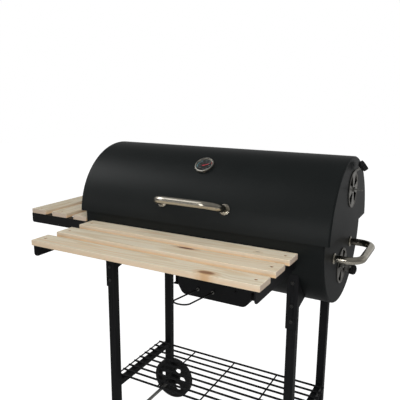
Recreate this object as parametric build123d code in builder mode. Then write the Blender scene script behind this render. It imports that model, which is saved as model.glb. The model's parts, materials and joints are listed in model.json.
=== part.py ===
from build123d import *

import os
from math import asin, cos, degrees, radians, sin, sqrt

# Charcoal barrel smoker on a wheeled stand, with pine shelves at its front and its left end.
# Sizes are in millimetres. The barrel lies along X, its front faces -Y and the floor is Z = 0.
# Names ending in _X, _Y or _Z are places counted from the middle of the barrel's axis.

# Fits
SEAT_GAP = 0.3
HOLE_CLEARANCE = 0.1
RUNNING_CLEARANCE = 0.05

# Barrel
AXIS_HEIGHT = 840.0
SHEET = 1.5
BODY_RADIUS = 200.0
BODY_LENGTH = 754.0
BODY_RIM_Z = 22.0
END_CORNER = 5.0
END_LIP = 9.0
LID_CLEARANCE = 6.5
LID_OVERHANG = 14.0
LID_EDGE_Z = 10.0

# Lid hinges
HINGE_INSET = 40.0
HINGE_WIDTH = 60.0
KNUCKLE_RADIUS = 6.0
KNUCKLE_GAP = 0.8
HINGE_DROP = 2.0
HINGE_PIN_RADIUS = 3.0
LEAF = 2.5
LEAF_REACH = 42.0

# Tube handles of the lid and of the right end
TUBE_RADIUS = 10.0
TUBE_WALL = 1.2
FLANGE_RADIUS = 15.0
FLANGE = 3.0
PLUG_LENGTH = 9.0
LID_HANDLE_SPAN = 197.0
LID_HANDLE_REACH = 63.0
LID_HANDLE_BEND = 45.0
LID_HANDLE_X = 6.5
LID_HANDLE_ANGLE = 19.0
END_HANDLE_SPAN = 183.0
END_HANDLE_REACH = 67.5
END_HANDLE_BEND = 38.0
END_HANDLE_Y = -8.0
END_HANDLE_Z = -51.0

# Bolts and nuts
BOLT_RADIUS = 3.0
BOLT_HEAD_RADIUS = 6.0
BOLT_HEAD = 4.0
BOLT_HEAD_TAPER = 28.0
BOLT_END = 4.0

# Lid thermometer
DIAL_X = 3.0
DIAL_ANGLE = 53.9
CASE_RADIUS = 28.0
CASE_DEPTH = 8.0
CASE_FLOOR = 1.5
CASE_ROUND = 2.0
DIAL_RADIUS = 23.0
DIAL = 0.8
GLASS_RADIUS = 25.0
GLASS = 1.2
GLASS_SEAT = 5.0
ARBOR_RADIUS = 1.0
ARBOR_HEIGHT = 2.0
NEEDLE_REST_ANGLE = 25.0
NEEDLE_TIP = 18.0
NEEDLE_TAIL = 7.0
NEEDLE_HALF_WIDTH = 1.3
NEEDLE_HUB_RADIUS = 2.6
NEEDLE = 0.8
STEM_RADIUS = 3.5
STEM_LENGTH = 70.0
STEM_NUT_RADIUS = 8.0
STEM_NUT = 5.0

# Draught vents on the right end: one in the lid, one in the body
VENT_RADIUS = 50.0
VENT_SHEET = 2.0
VENT_WINDOWS = 4
VENT_WINDOW_WIDTH = 43.5
VENT_WINDOW_INNER = 13.0
VENT_WINDOW_OUTER = 44.0
VENT_BOLT_RADIUS = 2.5
VENT_BOLT_END = 25.0
VENT_NUT_RADIUS = 7.0
VENT_NUT = 5.0
VENT_TAB_WIDTH = 18.0
VENT_TAB_BEND = 52.0
VENT_TAB_TILT = 50.0
VENT_TAB_FREE = 14.0
KNOB_SOCKET = 8.0
KNOB_RADIUS = 14.5
KNOB_LENGTH = 18.0
KNOB_FLUTES = 10
KNOB_FLUTE_RADIUS = 2.2
UPPER_VENT_Y = 6.0
UPPER_VENT_Z = 118.2
UPPER_WINDOW_TURN = 45.0
UPPER_KNOB_ANGLE = 70.0
LOWER_VENT_Y = -5.4
LOWER_VENT_Z = -98.0
LOWER_WINDOW_TURN = 65.0
LOWER_KNOB_ANGLE = -25.0

# Pine slats of both shelves
SLAT_WIDTH = 62.0
SLAT = 15.0
SLAT_ROUND = 1.5
SLAT_CORNER = 2.0
SCREW_RADIUS = 2.0
SCREW_HEAD_RADIUS = 4.0
SCREW_HEAD = 2.5
SCREW_SINK = 0.5

# Angle brackets of both shelves
ANGLE = 3.0
ANGLE_FLANGE = 26.0
ANGLE_HEIGHT = 31.0
ANGLE_ROUND = 12.0

# Front table
TABLE_INSET = 27.5
TABLE_LENGTH = 662.0
TABLE_TOP_Z = -18.7
TABLE_GAP = 2.0
TABLE_SLAT_GAP = 31.5
TABLE_BRACKET_INSET = 9.0
TABLE_FOOT_WIDTH = 34.0
TABLE_SLATS = ("rear", "middle", "front")

# Side shelf at the left end
SIDE_LENGTH = 403.0
SIDE_TOP_Z = -12.2
SIDE_GAP = 1.5
SIDE_INNER_WIDTH = 53.0
SIDE_SLAT_GAP = 29.0
SIDE_FOOT_LENGTH = 70.0
SIDE_BOLT_INSET = 18.0
SIDE_SLATS = ("inner", "middle", "outer")

# Legs and the brackets that hold them to the body
LEG = 25.0
LEG_WALL = 1.5
LEG_SPACING_X = 600.0
LEG_SHIFT_X = -4.1
LEG_SPACING_Y = 334.0
LEG_TOP_GAP = 3.0
LEG_FIT = 0.25
BRACKET = 2.5
BRACKET_BOTTOM_Z = -237.0
BRACKET_WRAP = 18.0
BRACKET_TIP_Y = 115.0
BRACKET_WING_Z = -178.0
BRACKET_BOLT_Z = (-107.0, -171.0, -215.0)

# Wheels under the left legs, feet under the right ones
WHEEL_RADIUS = 80.0
WHEEL_WIDTH = 30.0
WHEEL_WEB = 8.0
WHEEL_RIM = 16.0
WHEEL_ROUND = 4.0
WHEEL_HOLES = 6
WHEEL_HOLE_RADIUS = 13.0
WHEEL_HOLE_PLACE = 42.0
HUB_RADIUS = 20.0
WHEEL_GAP = 3.0
AXLE_RADIUS = 6.0
AXLE_EDGE = 18.0
AXLE_CAP_RADIUS = 11.0
AXLE_CAP = 8.0
AXLE_CAP_GAP = 1.0
FOOT_WALL = 2.0
FOOT_HEIGHT = 25.0
FOOT_FLOOR = 4.0

# Lower rack between the legs
RACK_HEIGHT = 250.0
RAIL = 20.0
RACK_ROD_RADIUS = 3.5
RACK_RODS = 9
RACK_TIE_RADIUS = 2.5
RACK_TIES = 5
RACK_DEPTH = 260.0
RACK_OVERHANG = 20.0

# Ash pan under the body, with its slot, hanger rails and wire pull
ASH_X = 10.4
ASH_SLOT_LENGTH = 200.0
ASH_SLOT_WIDTH = 100.0
PAN_DEPTH = 150.0
PAN_SHEET = 1.2
PAN_TOP_Z = -226.3
PAN_BOTTOM_Z = -257.0
PAN_TOP_HALF = 127.0
PAN_BOTTOM_HALF = 109.0
PAN_ROUND = 24.0
PAN_RIM = 7.0
PAN_FRONT_Z = -190.0
PAN_HOLE_RADIUS = 4.0
PAN_HOLE_X = 86.5
PAN_HOLE_Z = -212.0
RAIL_SHEET = 2.0
RAIL_SIDE_GAP = 1.0
RAIL_LEDGE_GAP = 2.0
RAIL_FOOT = 10.0
PULL_RADIUS = 2.5
PULL_X = -16.0
PULL_Z = -230.0
PULL_SPAN = 52.0
PULL_REACH = 165.0
PULL_RISE = 6.5
PULL_CLEARANCE = 0.65
PULL_BEND = 24.0
PULL_TAIL = 9.0
PULL_NUT_RADIUS = 5.5
PULL_NUT = 4.0

# Grates inside the body
GRATE_FRAME_RADIUS = 4.0
GRATE_BAR_RADIUS = 3.0
GRATE_FRAME_RODS = 3
COOKING_GRATE_DEPTH = 376.0
COOKING_GRATE_GAP = 6.0
COOKING_GRATE_BARS = 15
LEDGE_Z = -20.0
LEDGE_SHEET = 2.0
LEDGE_DEPTH = 24.0
LEDGE_HEIGHT = 22.0
LEDGE_END_GAP = 17.0
GRATE_END_GAP = 7.0
CHARCOAL_GRATE_Z = -120.0
CHARCOAL_GRATE_BARS = 21

# Sizes that follow from those above
LID_RADIUS = BODY_RADIUS + LID_CLEARANCE + SHEET
BODY_INSIDE = BODY_RADIUS - SHEET
LID_INSIDE = LID_RADIUS - SHEET
BODY_END_X = BODY_LENGTH / 2
LID_END_X = BODY_END_X + LID_OVERHANG
HINGE_X = BODY_END_X - HINGE_INSET
HINGE_Y = LID_RADIUS + SEAT_GAP + LEAF / 2
HINGE_Z = LID_EDGE_Z - KNUCKLE_RADIUS - HINGE_DROP
LEG_Y = LEG_SPACING_Y / 2
LEG_LEFT_X = LEG_SHIFT_X - LEG_SPACING_X / 2
LEG_RIGHT_X = LEG_SHIFT_X + LEG_SPACING_X / 2
FLOOR_Z = -AXIS_HEIGHT
TABLE_DEPTH = len(TABLE_SLATS) * SLAT_WIDTH + (len(TABLE_SLATS) - 1) * TABLE_SLAT_GAP
TABLE_BACK_Y = -BODY_RADIUS - TABLE_GAP
TABLE_LEFT_X = TABLE_INSET - BODY_END_X
SIDE_DEPTH = SIDE_INNER_WIDTH + (len(SIDE_SLATS) - 1) * (SLAT_WIDTH + SIDE_SLAT_GAP)
SIDE_RIGHT_X = -BODY_END_X - SIDE_GAP
BRACKET_FACE_Y = LEG_Y + LEG / 2 + LEG_FIT + BRACKET
WHEEL_Y = LEG_Y + LEG / 2 + WHEEL_GAP + WHEEL_WIDTH / 2
AXLE_CAP_Y = WHEEL_Y + WHEEL_WIDTH / 2 + AXLE_CAP_GAP
LEDGE_LENGTH = BODY_LENGTH - 2 * LEDGE_END_GAP
GRATE_SPACE = BODY_LENGTH - 2 * (SHEET + GRATE_END_GAP)
CHARCOAL_GRATE_LENGTH = GRATE_SPACE - 2 * GRATE_FRAME_RADIUS
COOKING_GRATE_LENGTH = (GRATE_SPACE - COOKING_GRATE_GAP) / 2 - 2 * GRATE_FRAME_RADIUS

# The part's origin is on the floor below the middle of its whole outline.
LEFT_REACH = SIDE_DEPTH - SIDE_RIGHT_X
RIGHT_REACH = BODY_END_X + END_HANDLE_REACH + TUBE_RADIUS
FRONT_REACH = TABLE_DEPTH - TABLE_BACK_Y
REAR_REACH = max(AXLE_CAP_Y + AXLE_CAP, HINGE_Y + KNUCKLE_RADIUS)
MIDDLE = Vector((LEFT_REACH - RIGHT_REACH) / 2, (FRONT_REACH - REAR_REACH) / 2, AXIS_HEIGHT)
BARREL_AXIS = Axis(MIDDLE, (1, 0, 0))

SIDES = ((-1, "left"), (1, "right"))
DEPTHS = ((-1, "front"), (1, "rear"))


def end_plane(x):
    """Upright plane across the barrel: local x runs to the rear, y up and z to the right."""
    return Plane(origin=MIDDLE + Vector(x, 0, 0), x_dir=(0, 1, 0), z_dir=(1, 0, 0))


def side_plane(y):
    """Upright plane along the barrel: local x runs to the right, y up and z to the front."""
    return Plane(origin=MIDDLE + Vector(0, y, 0), x_dir=(1, 0, 0), z_dir=(0, -1, 0))


def level_plane(z):
    """Level plane: local x runs to the right, y to the rear and z up."""
    return Plane(origin=MIDDLE + Vector(0, 0, z), x_dir=(1, 0, 0), z_dir=(0, 0, 1))


def skin_plane(x, angle, radius):
    """Plane square to the barrel's skin at an angle above the front: local z runs outwards."""
    outwards = Vector(0, -cos(radians(angle)), sin(radians(angle)))
    return Plane(origin=MIDDLE + Vector(x, 0, 0) + outwards * radius, x_dir=(1, 0, 0), z_dir=outwards)


def ring_strip(inner, outer, start, span):
    """Face between two arcs about the barrel's axis."""
    with BuildSketch() as strip:
        with BuildLine():
            inside = CenterArc((0, 0), inner, start, span)
            outside = CenterArc((0, 0), outer, start, span)
            Line(inside @ 0, outside @ 0)
            Line(inside @ 1, outside @ 1)
        make_face()
    return strip.sketch


def end_profile(side, end, radius):
    """Half section of a pressed barrel end with a rounded edge, from the axis to the skin."""
    middle = (side * (end - END_CORNER), radius - END_CORNER)
    start = 0 if side > 0 else 180
    with BuildSketch() as profile:
        with BuildLine():
            CenterArc(middle, END_CORNER, start, 90 * side)
            CenterArc(middle, END_CORNER - SHEET, start, 90 * side)
            Line((middle[0], radius - SHEET), (middle[0], radius))
            Polyline(
                (side * end, middle[1]),
                (side * end, 0),
                (side * (end - SHEET), 0),
                (side * (end - SHEET), middle[1]),
            )
        make_face()
    return profile.sketch


def vent_windows(turn):
    """Faces of the draught windows about a vent's centre, the first one at a given angle."""
    with BuildSketch() as windows:
        for count in range(VENT_WINDOWS):
            start = turn + count * 360 / VENT_WINDOWS - VENT_WINDOW_WIDTH / 2
            add(ring_strip(VENT_WINDOW_INNER, VENT_WINDOW_OUTER, start, VENT_WINDOW_WIDTH))
    return windows.sketch


def skin_depth(radius, width):
    """Distance from the barrel's axis to a flat seat of a given half width inside its skin."""
    return sqrt(radius**2 - width**2)


def save(piece, name):
    """Label a finished piece and write it under its own name."""
    piece.part.label = name
    export_step(piece.part, f"parts/{name}.step")


os.makedirs("parts", exist_ok=True)

# Body shell: a trough with the ash slot in its bottom and holes for the bolts of its brackets
rim_angle = degrees(asin(BODY_RIM_Z / BODY_RADIUS))
body_shell_half = BODY_END_X - END_CORNER
table_bolt_angle = -degrees(asin((SLAT + ANGLE_HEIGHT / 2 - TABLE_TOP_Z) / BODY_RADIUS))
table_left_web_x = TABLE_LEFT_X + TABLE_BRACKET_INSET
table_right_web_x = TABLE_LEFT_X + TABLE_LENGTH - TABLE_BRACKET_INSET
table_brackets = ((1, "left", table_left_web_x), (-1, "right", table_right_web_x))
with BuildPart() as body_shell:
    with BuildSketch(end_plane(-body_shell_half)):
        add(ring_strip(BODY_INSIDE, BODY_RADIUS, 180 - rim_angle, 180 + 2 * rim_angle))
    extrude(amount=2 * body_shell_half)
    with BuildSketch(level_plane(0)):
        with Locations((ASH_X, 0)):
            Rectangle(ASH_SLOT_LENGTH, ASH_SLOT_WIDTH)
    extrude(amount=-BODY_RADIUS - SHEET, mode=Mode.SUBTRACT)
    with BuildSketch(side_plane(0)):
        with Locations((LEG_LEFT_X, BRACKET_BOLT_Z[0]), (LEG_RIGHT_X, BRACKET_BOLT_Z[0])):
            Circle(BOLT_RADIUS + HOLE_CLEARANCE)
    extrude(amount=BODY_RADIUS, both=True, mode=Mode.SUBTRACT)
    for inwards, word, web_x in table_brackets:
        with BuildSketch(skin_plane(web_x + inwards * TABLE_FOOT_WIDTH / 2, table_bolt_angle, BODY_RADIUS)):
            Circle(BOLT_RADIUS + HOLE_CLEARANCE)
        extrude(amount=2 * SHEET, both=True, mode=Mode.SUBTRACT)
save(body_shell, "body_shell")

# Body ends: pressed half rounds with a lip under the lid; the right one has the lower vent
lip_half = sqrt((BODY_RADIUS - END_CORNER) ** 2 - BODY_RIM_Z**2)
side_bolt_z = SIDE_TOP_Z - SLAT - ANGLE_HEIGHT / 2
side_bolt_y = SIDE_LENGTH / 2 - SIDE_FOOT_LENGTH + SIDE_BOLT_INSET
for side, word in SIDES:
    with BuildPart() as body_end:
        with BuildSketch(side_plane(0)):
            add(end_profile(side, BODY_END_X, BODY_RADIUS))
        revolve(axis=BARREL_AXIS)
        split(bisect_by=level_plane(BODY_RIM_Z), keep=Keep.BOTTOM)
        with BuildSketch(level_plane(BODY_RIM_Z)):
            with Locations((side * (BODY_END_X - SHEET + (SHEET + END_LIP) / 2), 0)):
                Rectangle(SHEET + END_LIP, 2 * lip_half)
        extrude(amount=-SHEET)
        if word == "right":
            with BuildSketch(end_plane(BODY_END_X)):
                with Locations((LOWER_VENT_Y, LOWER_VENT_Z)):
                    add(vent_windows(LOWER_WINDOW_TURN))
                    Circle(VENT_BOLT_RADIUS + HOLE_CLEARANCE)
                for end, _ in DEPTHS:
                    with Locations((END_HANDLE_Y + end * END_HANDLE_SPAN / 2, END_HANDLE_Z)):
                        Circle(BOLT_RADIUS + HOLE_CLEARANCE)
            extrude(amount=-2 * SHEET, mode=Mode.SUBTRACT)
        else:
            with BuildSketch(end_plane(-BODY_END_X)):
                for end, _ in DEPTHS:
                    with Locations((end * side_bolt_y, side_bolt_z)):
                        Circle(BOLT_RADIUS + HOLE_CLEARANCE)
            extrude(amount=2 * SHEET, mode=Mode.SUBTRACT)
    save(body_end, f"body_end_{word}")

# Lid shell: the upper half, with holes for its handle and its thermometer
edge_angle = degrees(asin(LID_EDGE_Z / LID_RADIUS))
lid_shell_half = LID_END_X - END_CORNER
with BuildPart() as lid_shell:
    with BuildSketch(end_plane(-lid_shell_half)):
        add(ring_strip(LID_INSIDE, LID_RADIUS, edge_angle, 180 - 2 * edge_angle))
    extrude(amount=2 * lid_shell_half)
    with BuildSketch(skin_plane(LID_HANDLE_X, LID_HANDLE_ANGLE, LID_RADIUS)):
        with GridLocations(LID_HANDLE_SPAN, 1, 2, 1):
            Circle(BOLT_RADIUS + HOLE_CLEARANCE)
    extrude(amount=2 * SHEET, both=True, mode=Mode.SUBTRACT)
    with BuildSketch(skin_plane(DIAL_X, DIAL_ANGLE, LID_RADIUS)):
        Circle(STEM_RADIUS + HOLE_CLEARANCE)
    extrude(amount=2 * SHEET, both=True, mode=Mode.SUBTRACT)
save(lid_shell, "lid_shell")

# Lid ends: pressed half rounds that hang over the body; the right one has the upper vent
for side, word in SIDES:
    with BuildPart() as lid_end:
        with BuildSketch(side_plane(0)):
            add(end_profile(side, LID_END_X, LID_RADIUS))
        revolve(axis=BARREL_AXIS)
        split(bisect_by=level_plane(LID_EDGE_Z), keep=Keep.TOP)
        if word == "right":
            with BuildSketch(end_plane(LID_END_X)):
                with Locations((UPPER_VENT_Y, UPPER_VENT_Z)):
                    add(vent_windows(UPPER_WINDOW_TURN))
                    Circle(VENT_BOLT_RADIUS + HOLE_CLEARANCE)
            extrude(amount=-2 * SHEET, mode=Mode.SUBTRACT)
    save(lid_end, f"lid_end_{word}")

# Lid hinges: a middle knuckle webbed to the body's leaf between two knuckles on the lid's leaf
knuckle_width = HINGE_WIDTH / 3
leaf_angle_low = degrees(asin((LEAF_REACH - HINGE_Z) / BODY_RADIUS))
leaf_angle_high = degrees(asin((LEAF_REACH + HINGE_Z) / LID_RADIUS))
axis_angle_body = degrees(asin(HINGE_Z / BODY_RADIUS))
axis_angle_lid = degrees(asin(HINGE_Z / LID_RADIUS))
body_leaf = ring_strip(
    BODY_RADIUS + SEAT_GAP,
    BODY_RADIUS + SEAT_GAP + LEAF,
    -leaf_angle_low,
    leaf_angle_low + axis_angle_body,
)
lid_leaf = ring_strip(
    LID_RADIUS + SEAT_GAP,
    LID_RADIUS + SEAT_GAP + LEAF,
    axis_angle_lid,
    leaf_angle_high - axis_angle_lid,
)
with BuildPart() as hinge_body_leaves:
    for side, _ in SIDES:
        start_x = side * HINGE_X - HINGE_WIDTH / 2
        with BuildSketch(end_plane(start_x)):
            add(body_leaf)
        extrude(amount=HINGE_WIDTH)
        with BuildSketch(end_plane(start_x)):
            with Locations((HINGE_Y, HINGE_Z)):
                Circle(KNUCKLE_RADIUS + KNUCKLE_GAP)
        extrude(amount=HINGE_WIDTH, mode=Mode.SUBTRACT)
        with BuildSketch(end_plane(start_x + knuckle_width)):
            with Locations((HINGE_Y, HINGE_Z)):
                Circle(KNUCKLE_RADIUS)
                Rectangle(HINGE_Y - BODY_RADIUS - SEAT_GAP, KNUCKLE_RADIUS, align=(Align.MAX, Align.MAX))
            add(body_leaf)
            with Locations((HINGE_Y, HINGE_Z)):
                Circle(HINGE_PIN_RADIUS + RUNNING_CLEARANCE, mode=Mode.SUBTRACT)
        extrude(amount=knuckle_width)
save(hinge_body_leaves, "hinge_body_leaves")

with BuildPart() as hinge_lid_leaves:
    for side, _ in SIDES:
        start_x = side * HINGE_X - HINGE_WIDTH / 2
        with BuildSketch(end_plane(start_x)):
            add(lid_leaf)
            with Locations((HINGE_Y, HINGE_Z)):
                Circle(KNUCKLE_RADIUS)
                Circle(HINGE_PIN_RADIUS + RUNNING_CLEARANCE, mode=Mode.SUBTRACT)
        extrude(amount=HINGE_WIDTH)
        with BuildSketch(end_plane(start_x + knuckle_width - KNUCKLE_GAP)):
            with Locations((HINGE_Y, HINGE_Z)):
                Circle(KNUCKLE_RADIUS + KNUCKLE_GAP)
        extrude(amount=knuckle_width + 2 * KNUCKLE_GAP, mode=Mode.SUBTRACT)
save(hinge_lid_leaves, "hinge_lid_leaves")

with BuildPart() as hinge_pins:
    for side, _ in SIDES:
        with BuildSketch(end_plane(side * HINGE_X - HINGE_WIDTH / 2 - KNUCKLE_GAP)):
            with Locations((HINGE_Y, HINGE_Z)):
                Circle(HINGE_PIN_RADIUS)
        extrude(amount=HINGE_WIDTH + 2 * KNUCKLE_GAP)
save(hinge_pins, "hinge_pins")

# Tube handles: a bent tube, two flanges whose plugs enter the tube, and two bolts from inside
lid_seat = LID_RADIUS + SEAT_GAP
lid_bolt_seat = skin_depth(LID_INSIDE, BOLT_HEAD_RADIUS) - SEAT_GAP
lid_handle_origin = skin_plane(LID_HANDLE_X, LID_HANDLE_ANGLE, lid_seat)
end_handle_origin = Plane(
    origin=MIDDLE + Vector(BODY_END_X, END_HANDLE_Y, END_HANDLE_Z), x_dir=(0, 1, 0), z_dir=(1, 0, 0)
)
lid_tube_reach = LID_RADIUS + LID_HANDLE_REACH - lid_seat
lid_bolt_depth = lid_seat - lid_bolt_seat
handles = (
    ("lid_handle", lid_handle_origin, LID_HANDLE_SPAN, lid_tube_reach, LID_HANDLE_BEND, lid_bolt_depth),
    ("end_handle", end_handle_origin, END_HANDLE_SPAN, END_HANDLE_REACH, END_HANDLE_BEND, SHEET),
)
for name, seat, span, reach, bend_radius, bolt_depth in handles:
    bend_plane = Plane(origin=seat.origin, x_dir=seat.x_dir, z_dir=seat.x_dir.cross(seat.z_dir))
    with BuildPart() as handle:
        with BuildLine(bend_plane) as bend:
            FilletPolyline(
                (-span / 2, FLANGE),
                (-span / 2, reach),
                (span / 2, reach),
                (span / 2, FLANGE),
                radius=bend_radius,
            )
        with BuildSketch(Plane(origin=bend.line @ 0, z_dir=bend.line % 0)):
            Circle(TUBE_RADIUS)
            Circle(TUBE_RADIUS - TUBE_WALL, mode=Mode.SUBTRACT)
        sweep()
    save(handle, name)
    with BuildPart() as flanges:
        with BuildSketch(seat):
            with GridLocations(span, 1, 2, 1):
                Circle(FLANGE_RADIUS)
        extrude(amount=FLANGE)
        with BuildSketch(seat):
            with GridLocations(span, 1, 2, 1):
                Circle(TUBE_RADIUS - TUBE_WALL - HOLE_CLEARANCE)
        extrude(amount=FLANGE + PLUG_LENGTH)
        with BuildSketch(seat):
            with GridLocations(span, 1, 2, 1):
                Circle(BOLT_RADIUS + HOLE_CLEARANCE)
        extrude(amount=FLANGE + PLUG_LENGTH, mode=Mode.SUBTRACT)
    save(flanges, f"{name}_flanges")
    with BuildPart() as bolts:
        with BuildSketch(seat.offset(-bolt_depth)):
            with GridLocations(span, 1, 2, 1):
                Circle(BOLT_HEAD_RADIUS)
        extrude(amount=-BOLT_HEAD, taper=BOLT_HEAD_TAPER)
        with BuildSketch(seat.offset(-bolt_depth)):
            with GridLocations(span, 1, 2, 1):
                Circle(BOLT_RADIUS)
        extrude(amount=bolt_depth + FLANGE + PLUG_LENGTH)
    save(bolts, f"{name}_bolts")

# Lid thermometer: a round case on a stem through the lid, held by a nut inside
dial_seat = skin_plane(DIAL_X, DIAL_ANGLE, lid_seat)
with BuildPart() as thermometer_case:
    with BuildSketch(dial_seat):
        Circle(CASE_RADIUS)
    extrude(amount=CASE_DEPTH)
    dial_axis = Axis(dial_seat.origin, dial_seat.z_dir)
    fillet(thermometer_case.faces().sort_by(dial_axis)[-1].edges(), CASE_ROUND)
    with BuildSketch(dial_seat.offset(CASE_FLOOR)):
        Circle(DIAL_RADIUS)
    extrude(amount=CASE_DEPTH, mode=Mode.SUBTRACT)
    with BuildSketch(dial_seat.offset(GLASS_SEAT)):
        Circle(GLASS_RADIUS)
    extrude(amount=CASE_DEPTH, mode=Mode.SUBTRACT)
    with BuildSketch(dial_seat):
        Circle(STEM_RADIUS)
    extrude(amount=-STEM_LENGTH)
save(thermometer_case, "thermometer_case")

with BuildPart() as thermometer_dial:
    with BuildSketch(dial_seat.offset(CASE_FLOOR)):
        Circle(DIAL_RADIUS - HOLE_CLEARANCE)
    extrude(amount=DIAL)
    with BuildSketch(dial_seat.offset(CASE_FLOOR + DIAL)):
        Circle(ARBOR_RADIUS)
    extrude(amount=ARBOR_HEIGHT)
save(thermometer_dial, "thermometer_dial")

with BuildPart() as thermometer_needle:
    with BuildSketch(dial_seat.offset(CASE_FLOOR + DIAL + ARBOR_HEIGHT / 2)):
        with BuildLine(Plane.XY.rotated((0, 0, NEEDLE_REST_ANGLE))):
            Polyline(
                (NEEDLE_TIP, 0),
                (0, NEEDLE_HALF_WIDTH),
                (-NEEDLE_TAIL, NEEDLE_HALF_WIDTH),
                (-NEEDLE_TAIL, -NEEDLE_HALF_WIDTH),
                (0, -NEEDLE_HALF_WIDTH),
                close=True,
            )
        make_face()
        Circle(NEEDLE_HUB_RADIUS)
        Circle(ARBOR_RADIUS + RUNNING_CLEARANCE, mode=Mode.SUBTRACT)
    extrude(amount=NEEDLE)
save(thermometer_needle, "thermometer_needle")

with BuildPart() as thermometer_glass:
    with BuildSketch(dial_seat.offset(GLASS_SEAT)):
        Circle(GLASS_RADIUS - HOLE_CLEARANCE)
    extrude(amount=GLASS)
save(thermometer_glass, "thermometer_glass")

stem_nut_top = skin_depth(LID_INSIDE, STEM_NUT_RADIUS) - SEAT_GAP
with BuildPart() as thermometer_nut:
    with BuildSketch(skin_plane(DIAL_X, DIAL_ANGLE, stem_nut_top)):
        RegularPolygon(STEM_NUT_RADIUS, 6)
        Circle(STEM_RADIUS + HOLE_CLEARANCE, mode=Mode.SUBTRACT)
    extrude(amount=-STEM_NUT)
save(thermometer_nut, "thermometer_nut")

# Draught vents: a turning disc with a bent tab in a fluted grip, on a bolt through the barrel's end
vents = (
    ("upper_vent", LID_END_X, UPPER_VENT_Y, UPPER_VENT_Z, UPPER_WINDOW_TURN, UPPER_KNOB_ANGLE),
    ("lower_vent", BODY_END_X, LOWER_VENT_Y, LOWER_VENT_Z, LOWER_WINDOW_TURN, LOWER_KNOB_ANGLE),
)
for name, plate_x, vent_y, vent_z, window_turn, knob_angle in vents:
    plate = end_plane(plate_x).shift_origin(MIDDLE + Vector(plate_x, vent_y, vent_z))
    disc_back = plate.offset(SEAT_GAP)
    disc_face = plate.offset(SEAT_GAP + VENT_SHEET)
    outwards = Vector(0, cos(radians(knob_angle)), sin(radians(knob_angle)))
    tab_run = outwards * cos(radians(VENT_TAB_TILT)) + Vector(1, 0, 0) * sin(radians(VENT_TAB_TILT))
    tab_back = Plane(
        origin=disc_back.origin + outwards * VENT_TAB_BEND,
        x_dir=tab_run,
        z_dir=Vector(1, 0, 0) * cos(radians(VENT_TAB_TILT)) - outwards * sin(radians(VENT_TAB_TILT)),
    )
    with BuildPart() as disc:
        with BuildSketch(disc_back):
            Circle(VENT_RADIUS)
            with Locations(Location((0, 0), knob_angle)):
                Rectangle(VENT_TAB_BEND, VENT_TAB_WIDTH, align=(Align.MIN, Align.CENTER))
            add(vent_windows(window_turn), mode=Mode.SUBTRACT)
            Circle(VENT_BOLT_RADIUS + RUNNING_CLEARANCE, mode=Mode.SUBTRACT)
        extrude(amount=VENT_SHEET)
        with BuildSketch(tab_back):
            Rectangle(VENT_TAB_FREE + KNOB_SOCKET, VENT_TAB_WIDTH, align=(Align.MIN, Align.CENTER))
        extrude(amount=VENT_SHEET)
    save(disc, f"{name}_disc")
    with BuildPart() as vent_bolt:
        with BuildSketch(plate.offset(-SHEET)):
            RegularPolygon(VENT_NUT_RADIUS, 6)
        extrude(amount=-VENT_NUT)
        with BuildSketch(plate.offset(-SHEET)):
            Circle(VENT_BOLT_RADIUS)
        extrude(amount=SHEET + SEAT_GAP + VENT_SHEET + VENT_BOLT_END)
        with BuildSketch(disc_face.offset(SEAT_GAP)):
            RegularPolygon(VENT_NUT_RADIUS, 6)
        extrude(amount=VENT_NUT)
    save(vent_bolt, f"{name}_bolt")
    knob_foot = Plane(
        origin=tab_back.origin + tab_run * VENT_TAB_FREE + tab_back.z_dir * (VENT_SHEET / 2),
        x_dir=tab_back.z_dir,
        z_dir=tab_run,
    )
    with BuildPart() as knob:
        with BuildSketch(knob_foot):
            Circle(KNOB_RADIUS)
            with PolarLocations(KNOB_RADIUS, KNOB_FLUTES):
                Circle(KNOB_FLUTE_RADIUS, mode=Mode.SUBTRACT)
        extrude(amount=KNOB_LENGTH)
        with BuildSketch(knob_foot):
            Rectangle(VENT_SHEET + 2 * HOLE_CLEARANCE, VENT_TAB_WIDTH + 2 * HOLE_CLEARANCE)
        extrude(amount=KNOB_SOCKET, mode=Mode.SUBTRACT)
    save(knob, f"{name}_knob")

# Front table: three slats along the barrel on two angle brackets
table_bottom = TABLE_TOP_Z - SLAT
table_middle_x = TABLE_LEFT_X + TABLE_LENGTH / 2
table_screw_x = TABLE_LENGTH / 2 - TABLE_BRACKET_INSET - ANGLE_FLANGE / 2
table_pitch = SLAT_WIDTH + TABLE_SLAT_GAP
table_slat_places = []
for count, word in enumerate(TABLE_SLATS):
    slat_y = TABLE_BACK_Y - SLAT_WIDTH / 2 - count * table_pitch
    slat_at = Plane(origin=MIDDLE + Vector(table_middle_x, slat_y, table_bottom))
    table_slat_places.append(slat_at)
    with BuildPart() as table_slat:
        with BuildSketch(slat_at):
            Rectangle(TABLE_LENGTH, SLAT_WIDTH)
        extrude(amount=SLAT)
        fillet(table_slat.edges().filter_by(Axis.Z), SLAT_CORNER)
        fillet(table_slat.faces().filter_by(Axis.Z).edges(), SLAT_ROUND)
        with Locations(slat_at.offset(SLAT - SCREW_SINK)):
            with GridLocations(2 * table_screw_x, 1, 2, 1):
                CounterBoreHole(
                    SCREW_RADIUS + HOLE_CLEARANCE,
                    SCREW_HEAD_RADIUS + HOLE_CLEARANCE,
                    SCREW_HEAD,
                    depth=SLAT,
                )
    save(table_slat, f"table_slat_{word}")

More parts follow.
